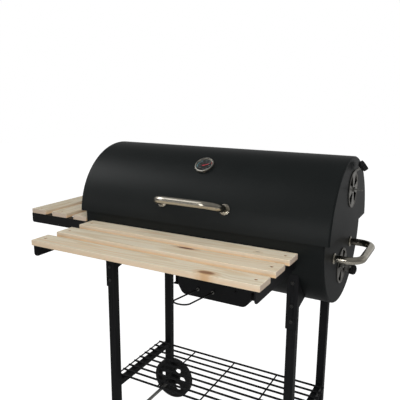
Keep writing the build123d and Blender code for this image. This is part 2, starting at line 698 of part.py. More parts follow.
for inwards, word, web_x in table_brackets:
    with BuildPart() as table_bracket:
        with BuildSketch(end_plane(web_x)) as web:
            with BuildLine():
                Polyline(
                    (TABLE_BACK_Y - TABLE_DEPTH, table_bottom),
                    (TABLE_BACK_Y - TABLE_DEPTH, table_bottom - ANGLE_HEIGHT),
                    (0, table_bottom - ANGLE_HEIGHT),
                    (0, table_bottom),
                    close=True,
                )
            make_face()
            fillet(web.vertices().group_by(Axis.Y)[0].sort_by(Axis.X)[0], ANGLE_ROUND)
        extrude(amount=inwards * ANGLE)
        with BuildSketch(end_plane(web_x)):
            with Locations((TABLE_BACK_Y - TABLE_DEPTH, table_bottom)):
                Rectangle(TABLE_DEPTH - TABLE_BACK_Y, ANGLE, align=(Align.MIN, Align.MAX))
        extrude(amount=inwards * ANGLE_FLANGE)
        with BuildSketch(end_plane(web_x)):
            foot_angle = degrees(asin(-table_bottom / BODY_RADIUS))
            foot_end_angle = degrees(asin((ANGLE_HEIGHT - table_bottom) / BODY_RADIUS))
            add(
                ring_strip(
                    BODY_RADIUS + SEAT_GAP,
                    BODY_RADIUS + SEAT_GAP + ANGLE,
                    180 + foot_angle,
                    foot_end_angle - foot_angle,
                )
            )
        extrude(amount=inwards * TABLE_FOOT_WIDTH)
        with BuildSketch(end_plane(web_x - inwards * ANGLE)):
            Circle(BODY_RADIUS + SEAT_GAP)
        extrude(amount=inwards * 2 * TABLE_FOOT_WIDTH, mode=Mode.SUBTRACT)
        with BuildSketch(skin_plane(web_x + inwards * TABLE_FOOT_WIDTH / 2, table_bolt_angle, BODY_RADIUS)):
            Circle(BOLT_RADIUS + HOLE_CLEARANCE)
        extrude(amount=3 * ANGLE, mode=Mode.SUBTRACT)
        for slat_at in table_slat_places:
            with BuildSketch(slat_at):
                with Locations((-inwards * table_screw_x, 0)):
                    Circle(SCREW_RADIUS + HOLE_CLEARANCE)
            extrude(amount=-ANGLE, mode=Mode.SUBTRACT)
    save(table_bracket, f"table_bracket_{word}")

# Side shelf: three slats across the left end on two angle brackets
side_bottom = SIDE_TOP_Z - SLAT
side_screw_y = SIDE_LENGTH / 2 - ANGLE_FLANGE / 2
side_slat_places = []
slat_right_x = SIDE_RIGHT_X
for word in SIDE_SLATS:
    slat_width = SIDE_INNER_WIDTH if word == "inner" else SLAT_WIDTH
    slat_at = Plane(origin=MIDDLE + Vector(slat_right_x - slat_width / 2, 0, side_bottom))
    slat_right_x -= slat_width + SIDE_SLAT_GAP
    side_slat_places.append(slat_at)
    with BuildPart() as side_slat:
        with BuildSketch(slat_at):
            Rectangle(slat_width, SIDE_LENGTH)
        extrude(amount=SLAT)
        fillet(side_slat.edges().filter_by(Axis.Z), SLAT_CORNER)
        fillet(side_slat.faces().filter_by(Axis.Z).edges(), SLAT_ROUND)
        with Locations(slat_at.offset(SLAT - SCREW_SINK)):
            with GridLocations(1, 2 * side_screw_y, 1, 2):
                CounterBoreHole(
                    SCREW_RADIUS + HOLE_CLEARANCE,
                    SCREW_HEAD_RADIUS + HOLE_CLEARANCE,
                    SCREW_HEAD,
                    depth=SLAT,
                )
    save(side_slat, f"side_slat_{word}")

side_left_x = SIDE_RIGHT_X - SIDE_DEPTH
for depth, word in DEPTHS:
    with BuildPart() as side_bracket:
        with BuildSketch(side_plane(depth * SIDE_LENGTH / 2)) as web:
            with Locations((side_left_x, side_bottom)):
                Rectangle(-BODY_END_X - side_left_x, ANGLE_HEIGHT, align=(Align.MIN, Align.MAX))
            fillet(web.vertices().group_by(Axis.Y)[0].sort_by(Axis.X)[0], ANGLE_ROUND / 2)
        extrude(amount=depth * ANGLE)
        with BuildSketch(side_plane(depth * SIDE_LENGTH / 2)):
            with Locations((side_left_x, side_bottom)):
                Rectangle(-BODY_END_X - side_left_x, ANGLE, align=(Align.MIN, Align.MAX))
        extrude(amount=depth * ANGLE_FLANGE)
        with BuildSketch(side_plane(depth * SIDE_LENGTH / 2)):
            with Locations((-BODY_END_X, side_bottom)):
                Rectangle(ANGLE, ANGLE_HEIGHT, align=(Align.MAX, Align.MAX))
        extrude(amount=depth * SIDE_FOOT_LENGTH)
        with BuildSketch(end_plane(-BODY_END_X)):
            with Locations((depth * side_bolt_y, side_bolt_z)):
                Circle(BOLT_RADIUS + HOLE_CLEARANCE)
        extrude(amount=-ANGLE, mode=Mode.SUBTRACT)
        for slat_at in side_slat_places:
            with BuildSketch(slat_at):
                with Locations((0, depth * side_screw_y)):
                    Circle(SCREW_RADIUS + HOLE_CLEARANCE)
            extrude(amount=-ANGLE, mode=Mode.SUBTRACT)
    save(side_bracket, f"side_bracket_{word}")

# Wood screws of both shelves, sunk just below the slats' faces
with BuildPart() as shelf_screws:
    for slat_at in table_slat_places:
        head_top = slat_at.offset(SLAT - SCREW_SINK)
        with BuildSketch(head_top):
            with GridLocations(2 * table_screw_x, 1, 2, 1):
                Circle(SCREW_HEAD_RADIUS)
        extrude(amount=-SCREW_HEAD)
        with BuildSketch(head_top):
            with GridLocations(2 * table_screw_x, 1, 2, 1):
                Circle(SCREW_RADIUS)
        extrude(amount=-SLAT - ANGLE)
    for slat_at in side_slat_places:
        head_top = slat_at.offset(SLAT - SCREW_SINK)
        with BuildSketch(head_top):
            with GridLocations(1, 2 * side_screw_y, 1, 2):
                Circle(SCREW_HEAD_RADIUS)
        extrude(amount=-SCREW_HEAD)
        with BuildSketch(head_top):
            with GridLocations(1, 2 * side_screw_y, 1, 2):
                Circle(SCREW_RADIUS)
        extrude(amount=-SLAT - ANGLE)
save(shelf_screws, "shelf_screws")

# Bolts that hold the shelf brackets to the barrel
table_bolt_seat = BODY_RADIUS + SEAT_GAP + ANGLE
bracket_bolt_places = []
for inwards, word, web_x in table_brackets:
    bolt_x = web_x + inwards * TABLE_FOOT_WIDTH / 2
    bracket_bolt_places.append(skin_plane(bolt_x, table_bolt_angle, table_bolt_seat + SEAT_GAP))
for depth, _ in DEPTHS:
    bracket_bolt_places.append(
        Plane(
            origin=MIDDLE + Vector(-BODY_END_X - ANGLE, depth * side_bolt_y, side_bolt_z),
            x_dir=(0, 1, 0),
            z_dir=(-1, 0, 0),
        )
    )
with BuildPart() as bracket_bolts:
    for seat in bracket_bolt_places:
        with BuildSketch(seat):
            Circle(BOLT_HEAD_RADIUS)
        extrude(amount=BOLT_HEAD, taper=BOLT_HEAD_TAPER)
        with BuildSketch(seat):
            Circle(BOLT_RADIUS)
        extrude(amount=-ANGLE - SHEET - BOLT_END)
save(bracket_bolts, "bracket_bolts")

# Legs: square tubes, the left pair drilled for the axle and the right pair standing in feet
leg_top = -sqrt(BODY_RADIUS**2 - (LEG_Y - LEG / 2) ** 2) - LEG_TOP_GAP
axle_z = FLOOR_Z + WHEEL_RADIUS
leg_ends = {"left": (LEG_LEFT_X, axle_z - AXLE_EDGE), "right": (LEG_RIGHT_X, FLOOR_Z + FOOT_FLOOR)}
for depth, depth_word in DEPTHS:
    for _, side_word in SIDES:
        leg_x, leg_bottom = leg_ends[side_word]
        with BuildPart() as leg:
            with BuildSketch(level_plane(leg_bottom)):
                with Locations((leg_x, depth * LEG_Y)):
                    Rectangle(LEG, LEG)
                    Rectangle(LEG - 2 * LEG_WALL, LEG - 2 * LEG_WALL, mode=Mode.SUBTRACT)
            extrude(amount=leg_top - leg_bottom)
            with BuildSketch(side_plane(depth * LEG_Y)):
                for bolt_z in BRACKET_BOLT_Z[1:]:
                    with Locations((leg_x, bolt_z)):
                        Circle(BOLT_RADIUS + HOLE_CLEARANCE)
            extrude(amount=-depth * LEG, mode=Mode.SUBTRACT)
            if side_word == "left":
                with BuildSketch(side_plane(depth * LEG_Y)):
                    with Locations((leg_x, axle_z)):
                        Circle(AXLE_RADIUS + HOLE_CLEARANCE)
                extrude(amount=LEG, both=True, mode=Mode.SUBTRACT)
        save(leg, f"leg_{depth_word}_{side_word}")

# Leg brackets: channels folded round the legs, their wings cut to the body's curve
bracket_width = LEG + 2 * (LEG_FIT + BRACKET)
with BuildPart() as leg_brackets:
    for depth, _ in DEPTHS:
        for leg_x in (LEG_LEFT_X, LEG_RIGHT_X):
            with BuildSketch(end_plane(leg_x - bracket_width / 2)):
                with BuildLine():
                    Polyline(
                        (depth * BRACKET_FACE_Y, BRACKET_BOTTOM_Z),
                        (depth * BRACKET_FACE_Y, 0),
                        (depth * BRACKET_TIP_Y, 0),
                        (depth * BRACKET_TIP_Y, -sqrt(BODY_RADIUS**2 - BRACKET_TIP_Y**2) - BRACKET),
                        (depth * (BRACKET_FACE_Y - BRACKET_WRAP), BRACKET_WING_Z),
                        (depth * (BRACKET_FACE_Y - BRACKET_WRAP), BRACKET_BOTTOM_Z),
                        close=True,
                    )
                make_face()
            extrude(amount=bracket_width)
            with BuildSketch(level_plane(BRACKET_BOTTOM_Z)):
                with Locations((leg_x, 0)):
                    Rectangle(LEG + 2 * LEG_FIT, 2 * (BRACKET_FACE_Y - BRACKET))
            extrude(amount=-BRACKET_BOTTOM_Z, mode=Mode.SUBTRACT)
    with BuildSketch(end_plane(-BODY_END_X)):
        Circle(BODY_RADIUS + SEAT_GAP)
    extrude(amount=BODY_LENGTH, mode=Mode.SUBTRACT)
    with BuildSketch(side_plane(0)):
        for leg_x in (LEG_LEFT_X, LEG_RIGHT_X):
            for bolt_z in BRACKET_BOLT_Z:
                with Locations((leg_x, bolt_z)):
                    Circle(BOLT_RADIUS + HOLE_CLEARANCE)
    extrude(amount=BRACKET_FACE_Y + BRACKET, both=True, mode=Mode.SUBTRACT)
save(leg_brackets, "leg_brackets")

# Leg bolts: the top one of each bracket enters the body, the other two enter the leg
body_wall_y = sqrt(BODY_INSIDE**2 - BRACKET_BOLT_Z[0] ** 2)
leg_wall_y = LEG_Y + LEG / 2 - LEG_WALL
with BuildPart() as leg_bolts:
    for depth, _ in DEPTHS:
        for leg_x in (LEG_LEFT_X, LEG_RIGHT_X):
            for bolt_z, inner_y in zip(BRACKET_BOLT_Z, (body_wall_y, leg_wall_y, leg_wall_y)):
                seat = Plane(
                    origin=MIDDLE + Vector(leg_x, depth * BRACKET_FACE_Y, bolt_z),
                    x_dir=(1, 0, 0),
                    z_dir=(0, depth, 0),
                )
                with BuildSketch(seat):
                    Circle(BOLT_HEAD_RADIUS)
                extrude(amount=BOLT_HEAD, taper=BOLT_HEAD_TAPER)
                with BuildSketch(seat):
                    Circle(BOLT_RADIUS)
                extrude(amount=inner_y - BRACKET_FACE_Y - BOLT_END)
save(leg_bolts, "leg_bolts")

# Feet of the right legs
with BuildPart() as foot_caps:
    with BuildSketch(level_plane(FLOOR_Z)):
        with Locations((LEG_RIGHT_X, 0)):
            with GridLocations(1, LEG_SPACING_Y, 1, 2):
                Rectangle(LEG + 2 * FOOT_WALL, LEG + 2 * FOOT_WALL)
    extrude(amount=FOOT_HEIGHT)
    with BuildSketch(level_plane(FLOOR_Z + FOOT_FLOOR)):
        with Locations((LEG_RIGHT_X, 0)):
            with GridLocations(1, LEG_SPACING_Y, 1, 2):
                Rectangle(LEG + 2 * HOLE_CLEARANCE, LEG + 2 * HOLE_CLEARANCE)
    extrude(amount=FOOT_HEIGHT, mode=Mode.SUBTRACT)
save(foot_caps, "foot_caps")

# Wheels on one axle through the left legs
for depth, word in DEPTHS:
    wheel_at = Plane(
        origin=MIDDLE + Vector(LEG_LEFT_X, depth * WHEEL_Y, axle_z), x_dir=(1, 0, 0), z_dir=(0, -1, 0)
    )
    with BuildPart() as wheel:
        with BuildSketch(wheel_at.offset(-WHEEL_WIDTH / 2)):
            Circle(WHEEL_RADIUS)
            Circle(WHEEL_RADIUS - WHEEL_RIM, mode=Mode.SUBTRACT)
        extrude(amount=WHEEL_WIDTH)
        fillet(wheel.edges().filter_by(GeomType.CIRCLE).sort_by(SortBy.RADIUS)[-2:], WHEEL_ROUND)
        with BuildSketch(wheel_at.offset(-WHEEL_WEB / 2)):
            Circle(WHEEL_RADIUS - WHEEL_RIM / 2)
            with PolarLocations(WHEEL_HOLE_PLACE, WHEEL_HOLES):
                Circle(WHEEL_HOLE_RADIUS, mode=Mode.SUBTRACT)
        extrude(amount=WHEEL_WEB)
        with BuildSketch(wheel_at.offset(-WHEEL_WIDTH / 2)):
            Circle(HUB_RADIUS)
        extrude(amount=WHEEL_WIDTH)
        with BuildSketch(wheel_at.offset(-WHEEL_WIDTH / 2)):
            Circle(AXLE_RADIUS + RUNNING_CLEARANCE)
        extrude(amount=WHEEL_WIDTH, mode=Mode.SUBTRACT)
    save(wheel, f"wheel_{word}")

axle_half = AXLE_CAP_Y + AXLE_CAP / 2
with BuildPart() as axle:
    with BuildSketch(side_plane(axle_half)):
        with Locations((LEG_LEFT_X, axle_z)):
            Circle(AXLE_RADIUS)
    extrude(amount=2 * axle_half)
save(axle, "axle")

with BuildPart() as axle_caps:
    for depth, _ in DEPTHS:
        with BuildSketch(side_plane(depth * AXLE_CAP_Y)):
            with Locations((LEG_LEFT_X, axle_z)):
                Circle(AXLE_CAP_RADIUS)
        extrude(amount=-depth * AXLE_CAP, taper=BOLT_HEAD_TAPER / 2)
        with BuildSketch(side_plane(depth * AXLE_CAP_Y)):
            with Locations((LEG_LEFT_X, axle_z)):
                Circle(AXLE_RADIUS + HOLE_CLEARANCE)
        extrude(amount=-depth * AXLE_CAP / 2, mode=Mode.SUBTRACT)
save(axle_caps, "axle_caps")

# Lower rack: rods along the barrel on a square rail between each pair of legs
rail_length = LEG_SPACING_Y - LEG
with BuildPart() as cross_rails:
    with BuildSketch(side_plane(rail_length / 2)):
        with Locations((LEG_LEFT_X, FLOOR_Z + RACK_HEIGHT), (LEG_RIGHT_X, FLOOR_Z + RACK_HEIGHT)):
            Rectangle(RAIL, RAIL)
            Rectangle(RAIL - 2 * LEG_WALL, RAIL - 2 * LEG_WALL, mode=Mode.SUBTRACT)
    extrude(amount=rail_length)
save(cross_rails, "cross_rails")


def rod_grid(middle, length, depth, rods, rod_radius, bars, bar_radius):
    """Flat grid of welded wire: stout rods along its length, thinner bars across its depth."""
    with BuildPart(middle) as grid:
        with GridLocations(1, depth / (rods - 1), 1, rods):
            Cylinder(rod_radius, length + 2 * rod_radius, rotation=(0, 90, 0))
        with GridLocations(length / (bars - 1), 1, bars, 1):
            Cylinder(bar_radius, depth, rotation=(90, 0, 0))
    return grid


rack_level = FLOOR_Z + RACK_HEIGHT + RAIL / 2 + SEAT_GAP + RACK_ROD_RADIUS
rack_length = LEG_SPACING_X + 2 * RACK_OVERHANG
rack_at = Plane(origin=MIDDLE + Vector(LEG_SHIFT_X, 0, rack_level))
lower_rack = rod_grid(
    rack_at, rack_length, RACK_DEPTH, RACK_RODS, RACK_ROD_RADIUS, RACK_TIES, RACK_TIE_RADIUS
)
save(lower_rack, "lower_rack")

# Cooking grates: two halves on ledges along the body's front and rear walls
with BuildPart() as grate_ledges:
    for depth, _ in DEPTHS:
        ledge_outside = BODY_INSIDE - SEAT_GAP
        top_angle = degrees(asin(-LEDGE_Z / ledge_outside))
        low_angle = degrees(asin((LEDGE_HEIGHT - LEDGE_Z) / ledge_outside))
        start = 180 + top_angle if depth < 0 else -low_angle
        with BuildSketch(end_plane(-LEDGE_LENGTH / 2)):
            add(ring_strip(ledge_outside - LEDGE_SHEET, ledge_outside, start, low_angle - top_angle))
            with Locations((depth * (ledge_outside - LEDGE_SHEET), LEDGE_Z)):
                Rectangle(2 * LEDGE_DEPTH, LEDGE_SHEET, align=(Align.CENTER, Align.MAX))
        extrude(amount=LEDGE_LENGTH)
    with BuildSketch(end_plane(-LEDGE_LENGTH / 2)):
        Circle(2 * BODY_RADIUS)
        Circle(BODY_INSIDE - SEAT_GAP, mode=Mode.SUBTRACT)
    extrude(amount=LEDGE_LENGTH, mode=Mode.SUBTRACT)
save(grate_ledges, "grate_ledges")

cooking_level = LEDGE_Z + SEAT_GAP + GRATE_FRAME_RADIUS
cooking_x = COOKING_GRATE_LENGTH / 2 + GRATE_FRAME_RADIUS + COOKING_GRATE_GAP / 2
for side, word in SIDES:
    grate_at = Plane(origin=MIDDLE + Vector(side * cooking_x, 0, cooking_level))
    cooking_grate = rod_grid(
        grate_at,
        COOKING_GRATE_LENGTH,
        COOKING_GRATE_DEPTH,
        GRATE_FRAME_RODS,
        GRATE_FRAME_RADIUS,
        COOKING_GRATE_BARS,
        GRATE_BAR_RADIUS,
    )
    save(cooking_grate, f"cooking_grate_{word}")

# Charcoal grate: its long edges rest on the body's curved walls
charcoal_at = level_plane(CHARCOAL_GRATE_Z)
charcoal_depth = 2 * sqrt((BODY_INSIDE - SEAT_GAP - GRATE_FRAME_RADIUS) ** 2 - CHARCOAL_GRATE_Z**2)
charcoal_grate = rod_grid(
    charcoal_at,
    CHARCOAL_GRATE_LENGTH,
    charcoal_depth,
    GRATE_FRAME_RODS,
    GRATE_FRAME_RADIUS,
    CHARCOAL_GRATE_BARS,
    GRATE_BAR_RADIUS,
)
save(charcoal_grate, "charcoal_grate")

# Ash pan: a tray with rolled lower corners whose side rims slide on the feet of two hanger rails
pan_back = side_plane(PAN_DEPTH / 2).shift_origin(MIDDLE + Vector(ASH_X, PAN_DEPTH / 2, 0))
pan_front = side_plane(-PAN_DEPTH / 2).shift_origin(MIDDLE + Vector(ASH_X, -PAN_DEPTH / 2, 0))
pull_places = [(PULL_X - ASH_X + end * PULL_SPAN / 2, PULL_Z) for end, _ in SIDES]


def pan_outline(wall):
    """Front view of the tray, drawn in all round by a wall's thickness."""
    with BuildSketch() as outline:
        with BuildLine():
            Polyline(
                (-PAN_TOP_HALF + wall, PAN_TOP_Z),
                (-PAN_BOTTOM_HALF + wall, PAN_BOTTOM_Z + wall),
                (PAN_BOTTOM_HALF - wall, PAN_BOTTOM_Z + wall),
                (PAN_TOP_HALF - wall, PAN_TOP_Z),
                close=True,
            )
        make_face()
        fillet(outline.vertices().group_by(Axis.Y)[0], PAN_ROUND - wall)
    return outline.sketch


with BuildPart() as ash_pan:
    with BuildSketch(pan_back):
        add(pan_outline(0))
    extrude(amount=PAN_DEPTH)
    with BuildSketch(pan_back.offset(PAN_SHEET)):
        add(pan_outline(PAN_SHEET))
    extrude(amount=PAN_DEPTH - 2 * PAN_SHEET, mode=Mode.SUBTRACT)
    with BuildSketch(pan_back):
        for end, _ in SIDES:
            with Locations((end * (PAN_TOP_HALF + PAN_RIM / 2 - PAN_SHEET / 2), PAN_TOP_Z)):
                Rectangle(PAN_RIM + PAN_SHEET, PAN_SHEET, align=(Align.CENTER, Align.MAX))
    extrude(amount=PAN_DEPTH)
    with BuildSketch(pan_front):
        with Locations((0, PAN_FRONT_Z)):
            Rectangle(2 * PAN_TOP_HALF, PAN_FRONT_Z - PAN_TOP_Z + PAN_SHEET, align=(Align.CENTER, Align.MAX))
    extrude(amount=-PAN_SHEET)
    with BuildSketch(pan_front):
        with Locations((PAN_HOLE_X - ASH_X, PAN_HOLE_Z)):
            Circle(PAN_HOLE_RADIUS)
        with Locations(pull_places):
            Circle(PULL_RADIUS + PULL_CLEARANCE)
    extrude(amount=-PAN_SHEET, mode=Mode.SUBTRACT)
save(ash_pan, "ash_pan")

with BuildPart() as ash_rails:
    ledge_top = PAN_TOP_Z - PAN_SHEET - SEAT_GAP
    web_inside = PAN_TOP_HALF + PAN_RIM + RAIL_SIDE_GAP
    ledge_width = PAN_RIM + RAIL_SIDE_GAP - RAIL_LEDGE_GAP
    with BuildSketch(pan_back):
        for end, word in SIDES:
            inner = Align.MAX if word == "left" else Align.MIN
            outer = Align.MIN if word == "left" else Align.MAX
            with Locations((end * web_inside, ledge_top - RAIL_SHEET)):
                Rectangle(RAIL_SHEET, BODY_RADIUS, align=(inner, Align.MIN))
                Rectangle(ledge_width, RAIL_SHEET, align=(outer, Align.MIN))
                Rectangle(RAIL_SHEET + RAIL_FOOT, RAIL_SHEET, align=(inner, Align.MIN))
    extrude(amount=PAN_DEPTH - PAN_SHEET)
    with BuildSketch(end_plane(-BODY_END_X)):
        Circle(BODY_RADIUS + SEAT_GAP)
    extrude(amount=BODY_LENGTH, mode=Mode.SUBTRACT)
save(ash_rails, "ash_rails")

# Wire pull: it rises a little from the pan's face to the front
pull_at = Plane(
    origin=MIDDLE + Vector(PULL_X, -PAN_DEPTH / 2, PULL_Z),
    x_dir=(1, 0, 0),
    z_dir=(0, sin(radians(PULL_RISE)), cos(radians(PULL_RISE))),
)
with BuildPart() as ash_pull:
    with BuildLine(pull_at) as pull_wire:
        FilletPolyline(
            (-PULL_SPAN / 2, PAN_SHEET + PULL_TAIL),
            (-PULL_SPAN / 2, -PULL_REACH),
            (PULL_SPAN / 2, -PULL_REACH),
            (PULL_SPAN / 2, PAN_SHEET + PULL_TAIL),
            radius=PULL_BEND,
        )
    with BuildSketch(Plane(origin=pull_wire.line @ 0, z_dir=pull_wire.line % 0)):
        Circle(PULL_RADIUS)
    sweep()
save(ash_pull, "ash_pull")

with BuildPart() as ash_pull_nuts:
    for seat, thickness in ((pan_front, PULL_NUT), (pan_front.offset(-PAN_SHEET), -PULL_NUT)):
        with BuildSketch(seat):
            with Locations(pull_places):
                RegularPolygon(PULL_NUT_RADIUS, 6)
                Circle(PULL_RADIUS + PULL_CLEARANCE, mode=Mode.SUBTRACT)
        extrude(amount=thickness)
save(ash_pull_nuts, "ash_pull_nuts")
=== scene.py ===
"""Looks of a charcoal barrel smoker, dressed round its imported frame. Lengths are in metres."""

import json
import logging
import math
from dataclasses import dataclass, field
from enum import Enum
from typing import Callable, Iterable, Iterator, Sequence, Union

import bmesh
import bpy
from mathutils import Matrix, Vector


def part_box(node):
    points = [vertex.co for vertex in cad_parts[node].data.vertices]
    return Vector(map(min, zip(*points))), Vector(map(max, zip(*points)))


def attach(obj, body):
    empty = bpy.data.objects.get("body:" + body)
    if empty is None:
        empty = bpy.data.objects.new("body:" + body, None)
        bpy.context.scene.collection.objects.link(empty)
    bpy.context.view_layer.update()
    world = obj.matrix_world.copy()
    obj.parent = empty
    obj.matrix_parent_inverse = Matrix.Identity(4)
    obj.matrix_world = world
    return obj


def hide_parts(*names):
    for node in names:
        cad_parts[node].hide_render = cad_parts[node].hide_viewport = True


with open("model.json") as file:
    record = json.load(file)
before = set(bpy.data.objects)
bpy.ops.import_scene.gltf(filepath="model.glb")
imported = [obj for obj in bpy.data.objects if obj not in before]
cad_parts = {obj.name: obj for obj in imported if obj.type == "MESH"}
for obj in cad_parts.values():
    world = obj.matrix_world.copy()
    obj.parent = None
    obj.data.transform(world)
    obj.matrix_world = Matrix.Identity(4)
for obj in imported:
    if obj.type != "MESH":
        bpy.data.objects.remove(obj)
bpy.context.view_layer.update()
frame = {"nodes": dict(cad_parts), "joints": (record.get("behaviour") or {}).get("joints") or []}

log = logging.getLogger("smoker")

Colour = tuple[float, float, float, float]
Term = Union["Field", float, Sequence[float]]
Profile = Sequence[tuple[float, float]]
Shaper = Callable[[float, float, float], tuple[float, float]]

TURN = 2 * math.pi
X_AXIS = Vector((1, 0, 0))
Y_AXIS = Vector((0, 1, 0))
Z_AXIS = Vector((0, 0, 1))
SAME_SPOT = 1e-6


def shade(red: float, green: float, blue: float) -> Colour:
    """Turn a screen colour into the linear one that a shader takes.

    Args:
        red, green, blue: screen values from 0 to 255.

    Returns:
        Linear colour with full alpha.
    """
    parts = [value / 255 for value in (red, green, blue)]
    linear = [part / 12.92 if part < 0.04045 else ((part + 0.055) / 1.055) ** 2.4 for part in parts]
    return (linear[0], linear[1], linear[2], 1.0)


def polar(radius: float, angle: float) -> tuple[float, float]:
    """X and Y of a point, from its distance and angle."""
    return radius * math.cos(angle), radius * math.sin(angle)


def span(spots: Iterable[Vector]) -> tuple[Vector, Vector]:
    """Lowest and highest corner of the box round points."""
    columns = list(zip(*spots))
    return Vector([min(column) for column in columns]), Vector([max(column) for column in columns])


def linked(name: str, data: bpy.types.ID) -> bpy.types.Object:
    """New object in the scene."""
    made = bpy.data.objects.new(name, data)
    bpy.context.scene.collection.objects.link(made)
    return made


class Field:
    """A value that varies over a surface: the socket that gives it, with arithmetic."""

    def __init__(self, paint: "Paint", socket: bpy.types.NodeSocket) -> None:
        """Keep the graph and the socket."""
        self.paint = paint
        self.socket = socket

    def __add__(self, other: Term) -> "Field":
        """Sum."""
        return self.paint.maths("ADD", self, other)

    __radd__ = __add__

    def __sub__(self, other: Term) -> "Field":
        """Difference."""
        return self.paint.maths("SUBTRACT", self, other)

    def __rsub__(self, other: Term) -> "Field":
        """Difference from a number."""
        return self.paint.maths("SUBTRACT", other, self)

    def __mul__(self, other: Term) -> "Field":
        """Product."""
        return self.paint.maths("MULTIPLY", self, other)

    def __truediv__(self, other: Term) -> "Field":
        """Quotient."""
        return self.paint.maths("DIVIDE", self, other)

    def size(self) -> "Field":
        """Value without its sign."""
        return self.paint.maths("ABSOLUTE", self)

    def root(self) -> "Field":
        """Square root."""
        return self.paint.maths("SQRT", self)

    def sine(self) -> "Field":
        """Sine of the value in radians."""
        return self.paint.maths("SINE", self)

    def larger(self, other: Term) -> "Field":
        """The larger of two values."""
        return self.paint.maths("MAXIMUM", self, other)

    def above(self, low: float, high: float) -> "Field":
        """Smooth step from 0 at low to 1 at high."""
        sockets = {"Value": self, "From Min": low, "From Max": high}
        return self.paint.value("ShaderNodeMapRange", {"interpolation_type": "SMOOTHSTEP"}, sockets)

    def below(self, low: float, high: float) -> "Field":
        """Smooth step from 1 at low to 0 at high."""
        return 1 - self.above(low, high)


class Paint:
    """A node graph under construction, of a material or of the world."""

    def __init__(self, tree: bpy.types.NodeTree) -> None:
        """Start on an empty graph."""
        self.tree = tree
        self.tree.nodes.clear()

    def node(
        self,
        kind: str,
        settings: dict[str, object] | None = None,
        sockets: dict[str | int, Term] | None = None,
    ) -> bpy.types.Node:
        """Add a node.

        Args:
            kind: the node's type.
            settings: attributes, set before any socket.
            sockets: values or links of the input sockets, by name or number.

        Returns:
            The new node.
        """
        made = self.tree.nodes.new(kind)
        for name, value in (settings or {}).items():
            setattr(made, name, value)
        for name, value in (sockets or {}).items():
            if isinstance(value, Field):
                self.tree.links.new(value.socket, made.inputs[name])
            else:
                made.inputs[name].default_value = value
        return made

    def value(self, kind: str, *given: dict | None, output: str | int = 0) -> Field:
        """What a new node gives at one of its outputs."""
        return Field(self, self.node(kind, *given).outputs[output])

    def maths(self, operation: str, *terms: Term) -> Field:
        """Result of a Math node on values."""
        return self.value("ShaderNodeMath", {"operation": operation}, dict(enumerate(terms)))

    def place(self) -> Field:
        """Place in the part's own frame."""
        return self.value("ShaderNodeTexCoord", output="Object")

    def parts(self, vector: Field) -> tuple[Field, Field, Field]:
        """The three parts of a vector."""
        split = self.node("ShaderNodeSeparateXYZ", None, {"Vector": vector})
        return Field(self, split.outputs[0]), Field(self, split.outputs[1]), Field(self, split.outputs[2])

    def axes(self) -> tuple[Field, Field, Field]:
        """Place along the part's X, Y and Z."""
        return self.parts(self.place())

    def facing(self) -> tuple[Field, Field, Field]:
        """Direction that the surface faces, along the part's X, Y and Z."""
        return self.parts(self.value("ShaderNodeTexCoord", output="Normal"))

    def vector(self, x: Term, y: Term, z: Term) -> Field:
        """Vector from three values."""
        return self.value("ShaderNodeCombineXYZ", None, {0: x, 1: y, 2: z})

    def stretched(self, scales: Sequence[float]) -> Field:
        """Place in the part's frame, scaled along each axis."""
        return self.value("ShaderNodeVectorMath", {"operation": "MULTIPLY"}, {0: self.place(), 1: scales})

    def noise(self, vector: Field, scale: float, detail: float = 2.0, roughness: float = 0.5) -> Field:
        """Soft random value from 0 to 1, with its scale in patches per unit of the vector."""
        sockets = {"Vector": vector, "Scale": scale, "Detail": detail, "Roughness": roughness}
        return self.value("ShaderNodeTexNoise", None, sockets)

    def mix(self, factor: Term, first: Term, second: Term) -> Field:
        """Colour between two colours."""
        sockets = {0: factor, 6: first, 7: second}
        return self.value("ShaderNodeMix", {"data_type": "RGBA"}, sockets, output=2)

    def bump(self, height: Field, strength: float, distance: float) -> Field:
        """Surface direction disturbed by a height."""
        sockets = {"Strength": strength, "Distance": distance, "Height": height}
        return self.value("ShaderNodeBump", None, sockets)

    def surface(self, **sockets: Term) -> None:
        """End the graph in a Principled surface; underscores in the names stand for spaces."""
        named = {name.replace("_", " "): value for name, value in sockets.items()}
        shader = self.node("ShaderNodeBsdfPrincipled", None, named)
        end = self.node("ShaderNodeOutputMaterial")
        self.tree.links.new(shader.outputs[0], end.inputs["Surface"])


@dataclass(frozen=True)
class Finish:
    """A surface finish under its own name."""

    name: str

    def material(self) -> bpy.types.Material:
        """Material of this finish, made once."""
        made = bpy.data.materials.get(self.name)
        if made is None:
            made = bpy.data.materials.new(self.name)
            made.use_nodes = True
            self.lay(Paint(made.node_tree))
        return made

    def lay(self, paint: Paint) -> None:
        """Build the node graph."""
        raise NotImplementedError


@dataclass(frozen=True)
class SatinPaint(Finish):
    """Sprayed heat-proof paint with a fine orange peel and faint dust."""

    colour: Colour
    faded: Colour
    roughness: float
    specular: float

    def lay(self, paint: Paint) -> None:
        """Build the node graph."""
        place = paint.place()
        clouds = paint.noise(place, 7, 3)
        peel = paint.noise(place, 900, 2)
        dust = paint.noise(place, 240, 2).above(0.66, 0.76)
        colour = paint.mix(clouds.above(0.3, 0.75) * 0.5, self.colour, self.faded)
        colour = paint.mix(dust * 0.1, colour, shade(96, 94, 90))
        paint.surface(
            Base_Color=colour,
            Roughness=self.roughness + (clouds - 0.5) * 0.12 + dust * 0.1,
            Specular_IOR_Level=self.specular,
            Normal=paint.bump(peel, 0.12, 0.0004),
        )


